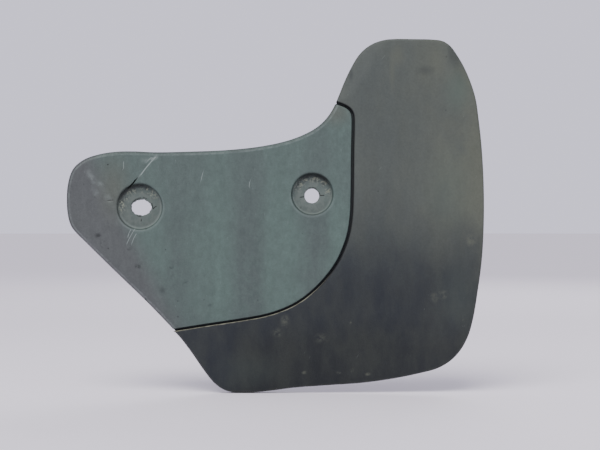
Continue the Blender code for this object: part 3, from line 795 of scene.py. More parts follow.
def mottled(tree, position, colour, size, depth, stretch=(1.0, 1.0, 1.0)):
    """The colour made a little lighter and darker in patches of a size."""
    level = effect(tree, "Mottle", position, Size=size, Depth=depth, Stretch=stretch)
    return blend_colour(tree, 1.0, colour, level, "MULTIPLY")


def new_material(name):
    """A material, its tree, its Principled shader, and the object coordinates as a vector and as X, Y and Z."""
    material = bpy.data.materials.new(name)
    material.use_nodes = True
    tree = material.node_tree
    shader = tree.nodes["Principled BSDF"]
    position = add_node(tree, "ShaderNodeTexCoord").outputs["Object"]
    parts = add_node(tree, "ShaderNodeSeparateXYZ", {"Vector": position})
    return material, tree, shader, position, parts.outputs


def set_bump(tree, shader, height, distance, strength=1.0):
    bump = add_node(tree, "ShaderNodeBump", {"Height": height, "Distance": distance, "Strength": strength})
    tree.links.new(bump.outputs["Normal"], shader.inputs["Normal"])


def near_place(tree, parts, x, z, radius_x, radius_z):
    """1 at a place on the plate, falling smoothly to 0 at the radii."""
    across = math_node(tree, "DIVIDE", math_node(tree, "SUBTRACT", parts["X"], x), radius_x)
    up = math_node(tree, "DIVIDE", math_node(tree, "SUBTRACT", parts["Z"], z), radius_z)
    far = math_node(tree, "SQRT", math_node(tree, "ADD", math_node(tree, "POWER", across, 2.0),
        math_node(tree, "POWER", up, 2.0)))
    return rise(tree, far, 1.0, 0.0)


def painted_sheen_bands(tree, position, parts):
    """Painted sheen across the carrier's width: soft upright light and dark bands with wandering edges, weaker near its
    top.
    """
    noise = add_node(tree, "ShaderNodeTexNoise", {"Vector": position, "Scale": 38.0, "Detail": 3.0})
    wander = math_node(tree, "MULTIPLY", math_node(tree, "SUBTRACT", noise.outputs["Fac"], 0.5), 0.014)
    place = math_node(tree, "ADD", parts["X"], wander)
    across = add_node(tree, "ShaderNodeMapRange", {"Value": place, "From Min": -0.140, "From Max": 0.030})
    bands = add_node(tree, "ShaderNodeValToRGB", {"Fac": across.outputs["Result"]})
    bands.color_ramp.interpolation = "EASE"
    stops = bands.color_ramp.elements
    levels = [(0.0, 0.3), (0.30, 0.7), (0.39, 0.2), (0.46, 0.5), (0.53, 1.0), (0.60, 0.05), (0.63, 0.05)]
    levels += [(0.69, 0.85), (0.75, 0.95), (0.83, 0.05), (0.85, 0.15), (0.90, 1.0), (1.0, 0.9)]
    stops[1].position = 1.0
    for at, level in levels[1:-1]:
        stops.new(at)
    for stop, (at, level) in zip(stops, levels):
        stop.position = at
        stop.color = (level, level, level, 1)
    swing = math_node(tree, "SUBTRACT", bands.outputs["Color"], 0.5)
    strength = rise(tree, parts["Z"], 0.018, -0.018, 0.45, 1.0)
    return math_node(tree, "ADD", 0.55, math_node(tree, "MULTIPLY", swing, strength))


def carrier_plastic(colours):
    """Faded, dusty grey-green plastic with streaks, pits, stress marks and dirty recesses; with painted sheen in
    upright bands, painted shadow and highlight in the recesses, and painted shade along the seam and in the crack.
    """
    material, tree, shader, position, parts = new_material("Carrier plastic")
    front = mask_input(tree, "front")
    # Painted sheen: upright light and dark bands across the plate.
    bands = painted_sheen_bands(tree, position, parts)
    colour = blend_colour(tree, bands, colours.carrier_dark, colours.carrier_light_and_sheen)
    blotches = effect(tree, "Clouds", position, Size=0.020, Softness=0.16, Stretch=(1.4, 1.0, 0.5))
    colour = blend_colour(tree, math_node(tree, "MULTIPLY", blotches, 0.35), colour, colours.carrier_dark)
    moss = effect(tree, "Clouds", position, Size=0.008, Softness=0.14, Stretch=(1.3, 1.0, 0.7))
    lower = rise(tree, parts["Z"], 0.000, -0.040)
    colour = blend_colour(
        tree, math_node(tree, "MULTIPLY", moss, math_node(tree, "MULTIPLY", lower, 0.35)), colour, colours.carrier_light_and_sheen
    )
    nose = rise(tree, math_node(tree, "ADD", parts["X"], math_node(tree, "MULTIPLY", parts["Z"], 0.5)), -0.100, -0.118)
    colour = blend_colour(tree, math_node(tree, "MULTIPLY", nose, 0.85), colour, colours.carrier_nose)
    for x, z, radius_x, radius_z in ((-0.1085, 0.004, 0.013, 0.026), (0.0130, 0.0455, 0.012, 0.011)):
        olive = near_place(tree, parts, x, z, radius_x, radius_z)
        colour = blend_colour(tree, math_node(tree, "MULTIPLY", olive, 0.8), colour, colours.carrier_olive)
    colour = mottled(tree, position, colour, 0.0011, 0.45)
    colour = mottled(tree, position, colour, 0.0040, 0.50, (1.3, 1.0, 0.8))
    colour = mottled(tree, position, colour, 0.0120, 0.30, (1.8, 1.0, 0.5))
    torn = effect(tree, "Clouds", position, Size=0.003, Softness=0.15)
    smear = math_node(tree, "MULTIPLY", mask_input(tree, "smear"), rise(tree, torn, 0.0, 1.0, 0.3, 1.0))
    colour = blend_colour(tree, math_node(tree, "MULTIPLY", smear, 0.40), colour, colours.stress_white_and_highlight)
    recess = mask_input(tree, "recess")
    caked = effect(tree, "Clouds", position, Size=0.003, Softness=0.12)
    dust = math_node(tree, "MULTIPLY", recess, math_node(tree, "ADD", 0.45, math_node(tree, "MULTIPLY", caked, 0.55)))
    colour = blend_colour(tree, dust, colour, colours.recess_dust)
    dirtier = math_node(tree, "MULTIPLY", recess, rise(tree, parts["X"], -0.050, -0.080, 0.0, 0.16))
    colour = blend_colour(tree, dirtier, colour, colours.grime_and_shade)
    crust = effect(tree, "Clouds", position, Size=0.0011, Softness=0.06)
    crust_near = math_node(tree, "MULTIPLY", mask_input(tree, "recess_flecks"), rise(tree, caked, 0.15, 0.7))
    pale = math_node(tree, "MULTIPLY", rise(tree, crust, 0.75, 1.0), crust_near)
    colour = blend_colour(tree, math_node(tree, "MULTIPLY", pale, 0.60), colour, colours.crust)
    dark = math_node(tree, "MULTIPLY", rise(tree, crust, 0.25, 0.0), crust_near)
    colour = blend_colour(tree, math_node(tree, "MULTIPLY", dark, 0.55), colour, colours.grime_and_shade)
    # Painted shadow with some dirt: the dark crescent on each recess's upper wall and a thin dark line round its wall.
    ring = mask_input(tree, "recess_painted_shadow_and_dirt")
    colour = blend_colour(tree, math_node(tree, "MULTIPLY", ring, 0.85), colour, colours.grime_and_shade)
    # Painted highlight on each recess's rim, on the side away from the shade.
    colour = blend_colour(tree, math_node(tree, "MULTIPLY", mask_input(tree, "recess_painted_highlight"), 0.30), colour,
        colours.stress_white_and_highlight)
    # Partly dirt and partly painted shade: dark lines round the fixing holes.
    around = math_node(tree, "MULTIPLY", mask_input(tree, "hole_grime"), rise(tree, torn, 0.2, 0.7))
    colour = blend_colour(tree, math_node(tree, "MULTIPLY", around, 0.9), colour, colours.grime_and_shade)
    edge = mask_input(tree, "edge")
    rubbed = math_node(tree, "MULTIPLY", rise(tree, edge, 1.0, 1.4), rise(tree, edge, 2.4, 1.7))
    rubbed = math_node(tree, "MULTIPLY", rubbed, rise(tree, torn, 0.0, 1.0, 0.35, 1.0))
    colour = blend_colour(tree, math_node(tree, "MULTIPLY", rubbed, 0.22), colour, colours.stress_white_and_highlight)
    rim = effect(tree, "Edge wear", position, Distance=edge, Width=1.3)
    colour = blend_colour(tree, math_node(tree, "MULTIPLY", rim, 0.50), colour, colours.grime_and_shade)
    seam = mask_input(tree, "seam")
    # Painted shade with dirt: the carrier's edge darkened along the seam gap.
    packed_dirt_and_shade = effect(tree, "Edge wear", position, Distance=seam, Width=0.8)
    colour = blend_colour(tree, math_node(tree, "MULTIPLY", packed_dirt_and_shade, 0.45), colour, colours.grime_and_shade)
    marks = (
        (-0.1188, -0.0007, 0.0012, 0.0010, 0.80),
        (-0.1172, -0.0218, 0.0030, 0.0022, 0.75), (-0.1148, -0.0262, 0.0022, 0.0030, 0.65),
        (-0.1001, -0.0285, 0.0022, 0.0022, 0.80),
        (-0.0952, -0.0384, 0.0034, 0.0026, 0.75), (-0.0768, -0.0392, 0.0018, 0.0016, 0.70),
        (-0.0560, -0.0600, 0.0020, 0.0016, 0.45),
        (-0.0958, 0.0243, 0.0018, 0.0011, 0.95), (-0.1010, -0.0520, 0.0036, 0.0030, 0.45),
        (-0.0690, -0.0480, 0.0030, 0.0024, 0.35),
        (-0.0905, -0.0180, 0.0030, 0.0012, 0.45), (-0.0820, -0.0520, 0.0030, 0.0030, 0.35),
    )
    for x, z, radius_x, radius_z, strength in marks:
        spot = math_node(tree, "MULTIPLY", near_place(tree, parts, x, z, radius_x, radius_z),
            rise(tree, torn, 0.15, 0.75))
        colour = blend_colour(tree, math_node(tree, "MULTIPLY", spot, strength), colour, colours.grime_and_shade)
    pits = effect(tree, "Specks", position, Spacing=0.0075, Radius=0.11, Share=0.45)
    left = rise(tree, parts["X"], -0.050, -0.120, 0.25, 0.8)
    colour = blend_colour(tree, math_node(tree, "MULTIPLY", pits, left), colour, colours.grime_and_shade)
    chips = effect(tree, "Specks", position, Spacing=0.017, Radius=0.045, Share=0.30)
    colour = blend_colour(tree, math_node(tree, "MULTIPLY", chips, 0.8), colour, colours.stress_white_and_highlight)
    rubs = effect(tree, "Scratches", position, Angle=0.12, Spacing=0.0022, Share=0.35)
    colour = blend_colour(tree, math_node(tree, "MULTIPLY", rubs, 0.22), colour, colours.stress_white_and_highlight)
    stress = mask_input(tree, "stress")
    colour = blend_colour(tree, math_node(tree, "MULTIPLY", stress, 0.85), colour, colours.stress_white_and_highlight)
    # Painted shade: the open crack and the nicks painted near black.
    crack = mask_input(tree, "crack")
    colour = blend_colour(tree, rise(tree, crack, 0.05, 0.55), colour, (0.004, 0.005, 0.005, 1))
    behind = math_node(tree, "MULTIPLY", math_node(tree, "SUBTRACT", 1.0, front), 0.55)
    colour = blend_colour(tree, behind, colour, colours.carrier_dark)
    tree.links.new(colour, shader.inputs["Base Color"])
    rough = math_node(tree, "ADD", 0.50, math_node(tree, "MULTIPLY", blotches, 0.10))
    rough = math_node(tree, "ADD", rough, math_node(tree, "MULTIPLY", dust, 0.25))
    tree.links.new(rough, shader.inputs["Roughness"])
    shader.inputs["Specular IOR Level"].default_value = 0.35
    grain = effect(tree, "Moulded grain", position, Size=0.0007)
    cut = math_node(tree, "MULTIPLY", math_node(tree, "ADD", pits, rubs), 1.2)
    set_bump(tree, shader, math_node(tree, "SUBTRACT", grain, cut), 0.00012, 0.55)
    return material


def flap_rubber(colours):
    """Weathered rubber, lighter above and darker below, partly dust and partly painted shade, with brown dust on its
    free side, a worn, pale lip that is partly dust and partly a painted highlight, and painted shade in the seam gap.
    """
    material, tree, shader, position, parts = new_material("Flap rubber")
    front = mask_input(tree, "front")
    noise = add_node(tree, "ShaderNodeTexNoise", {"Vector": position, "Scale": 22.0, "Detail": 4.0, "Roughness": 0.55})
    wander = math_node(tree, "MULTIPLY", math_node(tree, "SUBTRACT", noise.outputs["Fac"], 0.5), 0.030)
    height = math_node(tree, "ADD", parts["Z"], wander)
    right = rise(tree, parts["X"], 0.035, 0.095)
    # Painted shade, partly dust: the colour darkens downwards from the upper to the lower flap colour, along a
    # wandering line.
    dark = rise(tree, height, 0.014, -0.058)
    colour = blend_colour(tree, dark, colours.flap_upper_dust_and_painted_light, colours.flap_lower_rubber_and_painted_shade)
    # Painted shade: the flap's lower part, right of its left corner, darkened further towards the bottom.
    deep = math_node(tree, "MULTIPLY", rise(tree, height, -0.060, -0.085), rise(tree, parts["X"], -0.052, -0.030))
    colour = blend_colour(tree, math_node(tree, "MULTIPLY", deep, 0.58), colour, colours.grime_and_shade)
    warm = effect(tree, "Clouds", position, Size=0.030, Softness=0.14, Stretch=(1.0, 1.0, 0.8))
    warm = math_node(tree, "MULTIPLY", math_node(tree, "ADD", 0.35, math_node(tree, "MULTIPLY", warm, 0.65)), right)
    above = rise(tree, parts["Z"], -0.070, 0.010, 0.15, 0.9)
    colour = blend_colour(tree, math_node(tree, "MULTIPLY", warm, above), colour, colours.flap_warm)
    dusty = effect(tree, "Clouds", position, Size=0.016, Softness=0.18, Stretch=(1.5, 1.0, 0.6))
    colour = blend_colour(tree, math_node(tree, "MULTIPLY", dusty, 0.16), colour, colours.flap_warm)
    colour = mottled(tree, position, colour, 0.0012, 0.40)
    colour = mottled(tree, position, colour, 0.0050, 0.25, (1.5, 1.0, 0.6))
    colour = mottled(tree, position, colour, 0.0160, 0.20, (1.8, 1.0, 0.4))
    smudges = effect(tree, "Clouds", position, Size=0.0035, Softness=0.12)
    film = (
        (0.080, 0.058, 0.011, 0.018, 0.55, colours.flap_green), (0.047, 0.077, 0.006, 0.010, 0.50, colours.flap_warm),
        (0.0440, 0.068, 0.0022, 0.016, 0.40, colours.flap_warm), (0.069, 0.074, 0.006, 0.012, 0.35, colours.flap_warm),
        # Painted shade on the folded facets at the upper corners: this patch and the next.
        (0.0785, 0.0775, 0.0065, 0.0100, 0.24, colours.flap_lower_rubber_and_painted_shade),
        (0.0215, 0.0665, 0.0020, 0.0060, 0.45, colours.flap_lower_rubber_and_painted_shade),
        (0.0620, 0.0690, 0.0075, 0.0040, 0.32, colours.flap_lower_rubber_and_painted_shade),
        (0.075, 0.004, 0.020, 0.034, 0.25, colours.flap_green),
        (-0.035, -0.096, 0.024, 0.014, 0.12, colours.flap_green),
        (0.080, -0.055, 0.016, 0.030, 0.15, colours.flap_green),
    )
    for x, z, radius_x, radius_z, strength, tint in film:
        spot = near_place(tree, parts, x, z, radius_x, radius_z)
        colour = blend_colour(tree, math_node(tree, "MULTIPLY", spot, strength), colour, tint)
    scuffs = (
        (-0.0147, -0.0685, 0.0035, 0.0050, 0.50), (-0.0186, -0.0750, 0.0040, 0.0035, 0.45),
        (0.0052, -0.0782, 0.0060, 0.0038, 0.32),
        (0.0718, -0.0542, 0.0050, 0.0030, 0.60), (0.0670, -0.0560, 0.0030, 0.0040, 0.40),
        (0.0872, -0.0245, 0.0040, 0.0050, 0.60),
        (-0.0041, -0.0974, 0.0020, 0.0014, 0.60), (0.0146, -0.0974, 0.0022, 0.0014, 0.60),
        (0.0223, -0.0962, 0.0014, 0.0020, 0.50),
        (0.0309, -0.0983, 0.0024, 0.0014, 0.60), (0.0215, -0.0695, 0.0010, 0.0014, 0.90),
        (0.0834, -0.0685, 0.0010, 0.0014, 0.90),
    )
    for x, z, radius_x, radius_z, strength in scuffs:
        spot = math_node(tree, "MULTIPLY", near_place(tree, parts, x, z, radius_x, radius_z), smudges)
        spot = math_node(tree, "MULTIPLY", spot, 1.35 * strength)
        colour = blend_colour(tree, spot, colour, colours.flap_warm)
    edge = mask_input(tree, "edge")
    rubbed = effect(tree, "Edge wear", position, Distance=edge, Width=1.4)
    colour = blend_colour(tree, math_node(tree, "MULTIPLY", rubbed, 0.22), colour, colours.flap_warm)
    seam = mask_input(tree, "seam")
    # Painted shade with dirt on the flap's edge along the upper seam.
    packed_dirt_and_shade = math_node(tree, "MULTIPLY", rise(tree, seam, 1.2, 0.6), rise(tree, parts["Z"], -0.060, -0.046))
    colour = blend_colour(tree, math_node(tree, "MULTIPLY", packed_dirt_and_shade, 0.50), colour, colours.grime_and_shade)
    # Painted shade: the gap's floor and the flap's edge falling into it painted near black.
    colour = blend_colour(tree, rise(tree, seam, 0.70, 0.50, 0.0, 0.9), colour, (0.004, 0.005, 0.005, 1))
    # Painted highlight with dust and wear: the pale lip along the lower seam.
    lip = effect(tree, "Edge wear", position, Distance=seam, Width=0.75)
    along = math_node(tree, "MULTIPLY", rise(tree, parts["Z"], -0.040, -0.058), front)
    along = math_node(tree, "MULTIPLY", along, rise(tree, smudges, -0.6, 0.8, 0.25, 0.85))
    colour = blend_colour(tree, math_node(tree, "MULTIPLY", lip, along), colour, colours.lip_dust_and_highlight)
    specks = effect(tree, "Specks", position, Spacing=0.014, Radius=0.040, Share=0.55)
    colour = blend_colour(tree, math_node(tree, "MULTIPLY", specks, 0.8), colour, colours.stress_white_and_highlight)
    pits = effect(tree, "Specks", position, Spacing=0.009, Radius=0.07, Share=0.25)
    colour = blend_colour(tree, math_node(tree, "MULTIPLY", pits, 0.35), colour, colours.grime_and_shade)
    rubs = effect(tree, "Scratches", position, Angle=-0.5, Spacing=0.0030, Share=0.30)
    colour = blend_colour(tree, math_node(tree, "MULTIPLY", rubs, 0.16), colour, colours.stress_white_and_highlight)
    behind = math_node(tree, "MULTIPLY", math_node(tree, "SUBTRACT", 1.0, front), 0.7)
    colour = blend_colour(tree, behind, colour, colours.flap_lower_rubber_and_painted_shade)
    tree.links.new(colour, shader.inputs["Base Color"])
    rough = math_node(tree, "ADD", 0.52, math_node(tree, "MULTIPLY", dusty, 0.14))
    tree.links.new(rough, shader.inputs["Roughness"])
    shader.inputs["Specular IOR Level"].default_value = 0.30
    grain = effect(tree, "Moulded grain", position, Size=0.0009)
    set_bump(tree, shader, math_node(tree, "SUBTRACT", grain, pits), 0.00012, 0.5)
    return material


def plated_steel(name, plating, rust, roughness):
    """Dull zinc plating with streaks of rust."""
    material, tree, shader, position, _ = new_material(name)
    clouds = effect(tree, "Clouds", position, Size=0.006, Softness=0.10)
    dull = blend_colour(tree, math_node(tree, "MULTIPLY", clouds, 0.35), plating, (0.16, 0.155, 0.14, 1))
    spots = effect(tree, "Clouds", position, Size=0.0035, Softness=0.05)
    rusty = rise(tree, math_node(tree, "MULTIPLY", spots, clouds), 0.55, 0.95)
    colour = blend_colour(tree, math_node(tree, "MULTIPLY", rusty, 0.8), dull, rust)
    tree.links.new(colour, shader.inputs["Base Color"])
    tree.links.new(math_node(tree, "SUBTRACT", 0.9, math_node(tree, "MULTIPLY", rusty, 0.8)), shader.inputs["Metallic"])
    rough = math_node(tree, "ADD", roughness, math_node(tree, "MULTIPLY", clouds, 0.25))
    tree.links.new(rough, shader.inputs["Roughness"])
    grain = effect(tree, "Moulded grain", position, Size=0.0004)
    set_bump(tree, shader, grain, 0.00005, 0.5)
    return material


# Pieces.


def carrier_material(context):
    material = bpy.data.materials.get("Carrier plastic")
    return material or carrier_plastic(context.scene.mud_flap_colours)


def carrier_back(points, front, outer_distance, sizes):
    """Y of the carrier's back: skin, rim, and the two fixing bosses with their bearing tubes."""
    back = front + sizes.skin
    rim = 1 - ramp(outer_distance, sizes.rim_wall, sizes.rim_wall + DRAFT)
    back = back + (RIM_BACK_Y - back) * rim
    for hole in HOLES:
        radius = np.linalg.norm(points - np.array(hole["boss"]), axis=1)
        wall = 1 - ramp(radius, hole["recess"] + 0.0013, hole["recess"] + 0.0018)
        back = back + (RIM_BACK_Y - back) * wall
        inside = hole["recess"] - BOSS_RELIEF
        back = back + (SEAT_BACK_Y - back) * (1 - ramp(radius, inside - DRAFT, inside))
        from_edge = from_hole(points, hole)
        tube = ramp(from_edge, BORE_RELIEF,
            BORE_RELIEF + DRAFT) * (1 - ramp(from_edge, BEARING_WALL - DRAFT, BEARING_WALL))
        back = back + (0.0 - back) * tube
    return back


def carrier_lines(outline, radii, sizes):
    """The loops and runs that the carrier's mesh follows."""
    outer = smooth_run(CARRIER_EDGE)
    loops = rounding_loops(outline, radii)
    runs = [offset_run(outer, sizes.rim_wall), offset_run(outer, sizes.rim_wall + DRAFT)]
    for hole in HOLES:
        centre = hole["boss"]
        loops.append(hole_edge(hole, ragged=True))
        for grow in (0.0005, BORE_RELIEF, BORE_RELIEF + DRAFT, BEARING_WALL - DRAFT, BEARING_WALL):
            loops.append(hole_loop(hole, grow))
        for share in (0.0, 0.14, 0.28, 0.5, 0.72, 0.86, 1.0):
            loops.append(circle(centre, hole["recess"] - RECESS_TAPER * share, 80))
        inside = hole["recess"] - BOSS_RELIEF
        for radius in (inside - DRAFT, inside, hole["recess"] + 0.0013, hole["recess"] + 0.0018):
            loops.append(circle(centre, radius, 80))
        loops.append(circle(centre, hole["recess"] + 0.0006, 80))
    runs.extend(damage_runs([CRACK_OPEN], sizes.crack_width / 2))
    runs.extend(damage_runs([CRACK_HAIRLINE], HAIRLINE))
    runs.extend(damage_runs(SCRATCHES + NICKS, SCRATCH))
    runs.extend(damage_runs(HOLE_GRIME_AND_SHADE, GRIME))
    return loops, runs


def carrier_mesh(sizes):
    outline, on_seam = carrier_outline(sizes.seam_gap)
    lower_left = ease(-outline[:, 0], 0.060, 0.080) * ease(-outline[:, 1], 0.014, 0.024)
    left_end = ease(-outline[:, 0], 0.108, 0.128)
    radii = sizes.edge_round + (sizes.lower_edge_round - sizes.edge_round) * np.maximum(lower_left, 0.35 * left_end)
    radii = np.where(on_seam, sizes.seam_round, radii)

    def keep(points):
        kept = inside_loop(points, outline)
        for hole in HOLES:
            kept &= ~inside_loop(points, hole_edge(hole, ragged=True))
        return kept

    loops, runs = carrier_lines(outline, radii, sizes)
    points, triangles = flat_mesh(keep, loops, runs, sizes.mesh_step)
    distance, along = nearest_on_run(points, outline, closed=True)
    radius = np.interp(along, np.arange(len(outline) + 1), np.append(radii, radii[0]))
    outer_distance, _ = nearest_on_run(points, smooth_run(CARRIER_EDGE))
    seam_distance, _ = nearest_on_run(points, smooth_run(SEAM))
    smooth_front = front_y(points)
    front = smooth_front + edge_drop(distance, radius)
    recess = np.zeros(len(points))
    ring = np.zeros(len(points))
    corner = np.zeros(len(points))
    flecks = np.zeros(len(points))
    for hole in HOLES:
        from_middle = points - np.array(hole["boss"])
        far = np.linalg.norm(from_middle, axis=1)
        share = (hole["recess"] - far) / RECESS_TAPER
        front = front + (RECESS_FLOOR_Y - front) * fillet_step(share)
        from_edge = from_hole(points, hole)
        front = front + np.where(from_edge < 0.0005, 0.0003 * (1 - from_edge / 0.0005), 0)
        recess = np.maximum(recess, ease(share, 0.3, 1.0))
        towards_shade = (from_middle @ np.array(hole["shade"])) / np.maximum(far, 1e-6)
        # Painted shadow, with some dirt: a dark crescent over the recess wall and the face just outside it on the side
        # towards the shade, and a thin dark line round the middle of the wall.
        wall = ease(share, -0.70, 0.45) * (1 - ease(share, 1.2, 2.4)) * ease(towards_shade, 0.30, 0.95)
        line = 1 - np.clip(np.abs(share - 0.42) / 0.28, 0, 1)
        # Painted highlight: light lines on the lower wall and just outside the recess, on the side away from the shade.
        rim = np.maximum(1 - np.abs(share + 0.20) / 0.40, 1 - np.abs(share - 0.90) / 0.35)
        ring = np.maximum(ring, np.clip(rim, 0, 1) * ease(-towards_shade, -0.3, 0.5))
        corner = np.maximum(corner, np.maximum(wall, 0.55 * line))
        flecks = np.maximum(flecks, ease(share, 0.6, 1.4) * (1 - ease(share, 3.0, 4.5)) * ease(towards_shade,
            -0.1, 0.6))
    crack = line_strength(points, [CRACK_OPEN], sizes.crack_width / 2)
    nicks = line_strength(points, NICKS, SCRATCH)
    grime_and_shade = line_strength(points, HOLE_GRIME_AND_SHADE, GRIME)
    hairline = line_strength(points, [CRACK_HAIRLINE], HAIRLINE)
    scratches = line_strength(points, SCRATCHES, SCRATCH)
    smears = line_strength(points, SMEARS, SMEAR)
    front = front + 0.0012 * crack + 0.0002 * nicks + 0.00008 * (hairline + scratches)
    nothing = np.zeros(len(points))
    masks = {
        "edge": np.minimum(outer_distance * 1000, 20), "seam": np.minimum(seam_distance * 1000, 20),
        "recess": (recess, nothing), "recess_painted_highlight": (ring, nothing), "recess_painted_shadow_and_dirt": (corner, nothing),
        "recess_flecks": (flecks, nothing),
        "crack": (np.maximum(crack, nicks), nothing), "hole_grime": (grime_and_shade, nothing),
        "stress": (np.maximum(hairline, 0.75 * scratches), nothing), "smear": (smears, nothing),
    }
    back = carrier_back(points, smooth_front, outer_distance, sizes)
    return plate_mesh("carrier_moulding", points, triangles, front, back, masks)


def rib_mesh():
    """A bar one unit long, high and thick, whose sides draw in towards its rounded back edge."""
    bm = bmesh.new()
    profile = [(-0.62, 0.0), (-0.50, 0.86), (-0.36, 0.97), (0.0, 1.0), (0.36, 0.97), (0.50, 0.86), (0.62, 0.0)]
    ends = [[bm.verts.new((x, y, z)) for y, z in profile] for x in (-0.5, 0.5)]
    bm.faces.new(ends[0])
    bm.faces.new(ends[1][::-1])
    for i in range(len(profile)):
        j = (i + 1) % len(profile)
        bm.faces.new((ends[0][j], ends[0][i], ends[1][i], ends[1][j]))
    bmesh.ops.recalc_face_normals(bm, faces=bm.faces)
    mesh = bpy.data.meshes.new("rib")
    bm.to_mesh(mesh)
    bm.free()
    mesh.shade_smooth()
    mesh.set_sharp_from_angle(angle=math.radians(38))
    return mesh


def rib_places():
    """A matrix and a stretch for each rib: X along it, Z towards the vehicle."""
    matrices = []
    stretches = []
    for start, end in RIBS:
        a, b = np.array(start), np.array(end)
        middle = (a + b) / 2
        highest = front_y(np.array([a, middle, b])).max() + 0.0012
        along = Vector((b[0] - a[0], 0, b[1] - a[1])).normalized()
        back = Vector((0, 1, 0))
        across = back.cross(along)
        turn = Matrix((along, across, back)).transposed().to_4x4()
        matrices.append(Matrix.Translation((middle[0], highest, middle[1])) @ turn)
        stretches.append((float(np.linalg.norm(b - a)), 0.0016, RIB_BACK_Y - highest))
    return matrices, stretches


class MUDFLAP_OT_carrier_plate(bpy.types.Operator):
    """Make the stiff carrier plate with its two recessed fixing holes"""

    bl_idname = "mud_flap.carrier_plate"
    bl_label = "Carrier Plate"

    def execute(self, context):
        material = carrier_material(context)
        mesh = carrier_mesh(context.scene.mud_flap_sizes)
        piece = new_piece("carrier_moulding", mesh, material)
        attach(piece, "carrier")
        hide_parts("carrier_plate")
        return {"FINISHED"}


class MUDFLAP_OT_carrier_ribs(bpy.types.Operator):
    """Make the stiffening ribs on the carrier's back"""

    bl_idname = "mud_flap.carrier_ribs"
    bl_label = "Carrier Ribs"

    def execute(self, context):
        material = carrier_material(context)
        matrices, stretches = rib_places()
        mesh = copies_mesh("carrier_ribs", rib_mesh(), matrices, stretches, material)
        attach(new_piece("carrier_ribs", mesh, material), "carrier")
        return {"FINISHED"}


class MUDFLAP_OT_screw_studs(bpy.types.Operator):
    """Make the hollow studs that the clamp strip's screws go into"""

    bl_idname = "mud_flap.screw_studs"
    bl_label = "Screw Studs"

    def execute(self, context):
        material = carrier_material(context)
        depth = STUD_BACK - 0.0012
        profile = [
            (PILOT_RADIUS, 0.0), (PILOT_RADIUS, depth - 0.0003), (PILOT_RADIUS + 0.0003, depth),
            (STUD_RADIUS - 0.0003, depth), (STUD_RADIUS, depth - 0.0003), (STUD_RADIUS + 0.0001, 0.0),
        ]
        matrices = [back_matrix(place, 0.0012) for place in screw_places()]
        stud = turned_mesh("screw_stud", profile)
        mesh = copies_mesh("screw_studs", stud, matrices, [(1, 1, 1)] * len(matrices), material)
        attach(new_piece("screw_studs", mesh, material), "carrier")
        return {"FINISHED"}


def tongue_parts(sizes):
    """Points, triangles and heights of the tongue and lip that pass behind the carrier."""
    overlap = -sizes.flap_edge_width / 2
    band = seam_band(clamped_seam(), overlap, TONGUE_REACH)
    lip = seam_band(smooth_run(SEAM), overlap, LIP_REACH)
    whole = np.vstack([smooth_run(CARRIER_EDGE)[:-1], smooth_run(FLAP_EDGE)[:-1]])
    inset = offset_run(whole, sizes.rim_wall + RIM_CLEARANCE, closed=True)
    floor = seam_band(smooth_run(SEAM), 0.9 * overlap, sizes.seam_gap / 2 - 0.0001)
    ends = offset_run(whole, GAP_END_INSET, closed=True)
    boss = circle(ROUND_HOLE["boss"], ROUND_HOLE["recess"] + BOSS_WALL + BOSS_CLEARANCE)
    holes = [circle(place, STUD_RADIUS + 0.0003, 32) for place in screw_places()]

    def keep(points):
        kept = (inside_loop(points, band) | inside_loop(points, lip)) & inside_loop(points, inset)
        kept |= inside_loop(points, floor) & inside_loop(points, ends)
        for loop in [boss, *holes]:
            kept &= ~inside_loop(points, loop)
        return kept

    points, triangles = flat_mesh(keep, [band, lip, inset, floor, ends, boss, *holes], [], sizes.mesh_step)
    face = front_y(points)
    return points, triangles, face + TONGUE_FRONT, face + TONGUE_BACK


def flap_mesh(sizes):
    outline, on_seam = flap_outline(sizes.seam_gap)
    radii = np.where(on_seam, sizes.lip_round, sizes.flap_round)
    loops = rounding_loops(outline, radii)
    width = sizes.flap_edge_width
    loops.extend([offset_run(outline, width + extra, closed=True) for extra in (0.0, 0.0005, 0.0010)])
    loops.append(offset_run(outline, 0.0003, closed=True))
    points, triangles = flat_mesh(lambda rows: inside_loop(rows, outline), loops, [np.array(FOLD_LINE)],
        sizes.mesh_step)
    distance, along = nearest_on_run(points, outline, closed=True)
    radius = np.interp(along, np.arange(len(outline) + 1), np.append(radii, radii[0]))
    outer_distance, _ = nearest_on_run(points, smooth_run(FLAP_EDGE))
    seam_distance, _ = nearest_on_run(points, smooth_run(SEAM))
    smooth_front = flap_front_y(points, sizes.lip_proud)
    front = smooth_front + edge_drop(distance, radius)
    bead = 1 - ease(distance, width, width + 0.0010)
    back = smooth_front + sizes.flap_web + (sizes.flap_edge_depth - sizes.flap_web) * bead
    back = back - edge_drop(distance, 0.0007)
    masks = {"edge": np.minimum(outer_distance * 1000, 20), "seam": np.minimum(seam_distance * 1000 - 0.5, 20)}
    return plate_mesh("rubber_flap", points, triangles, front, back, masks)


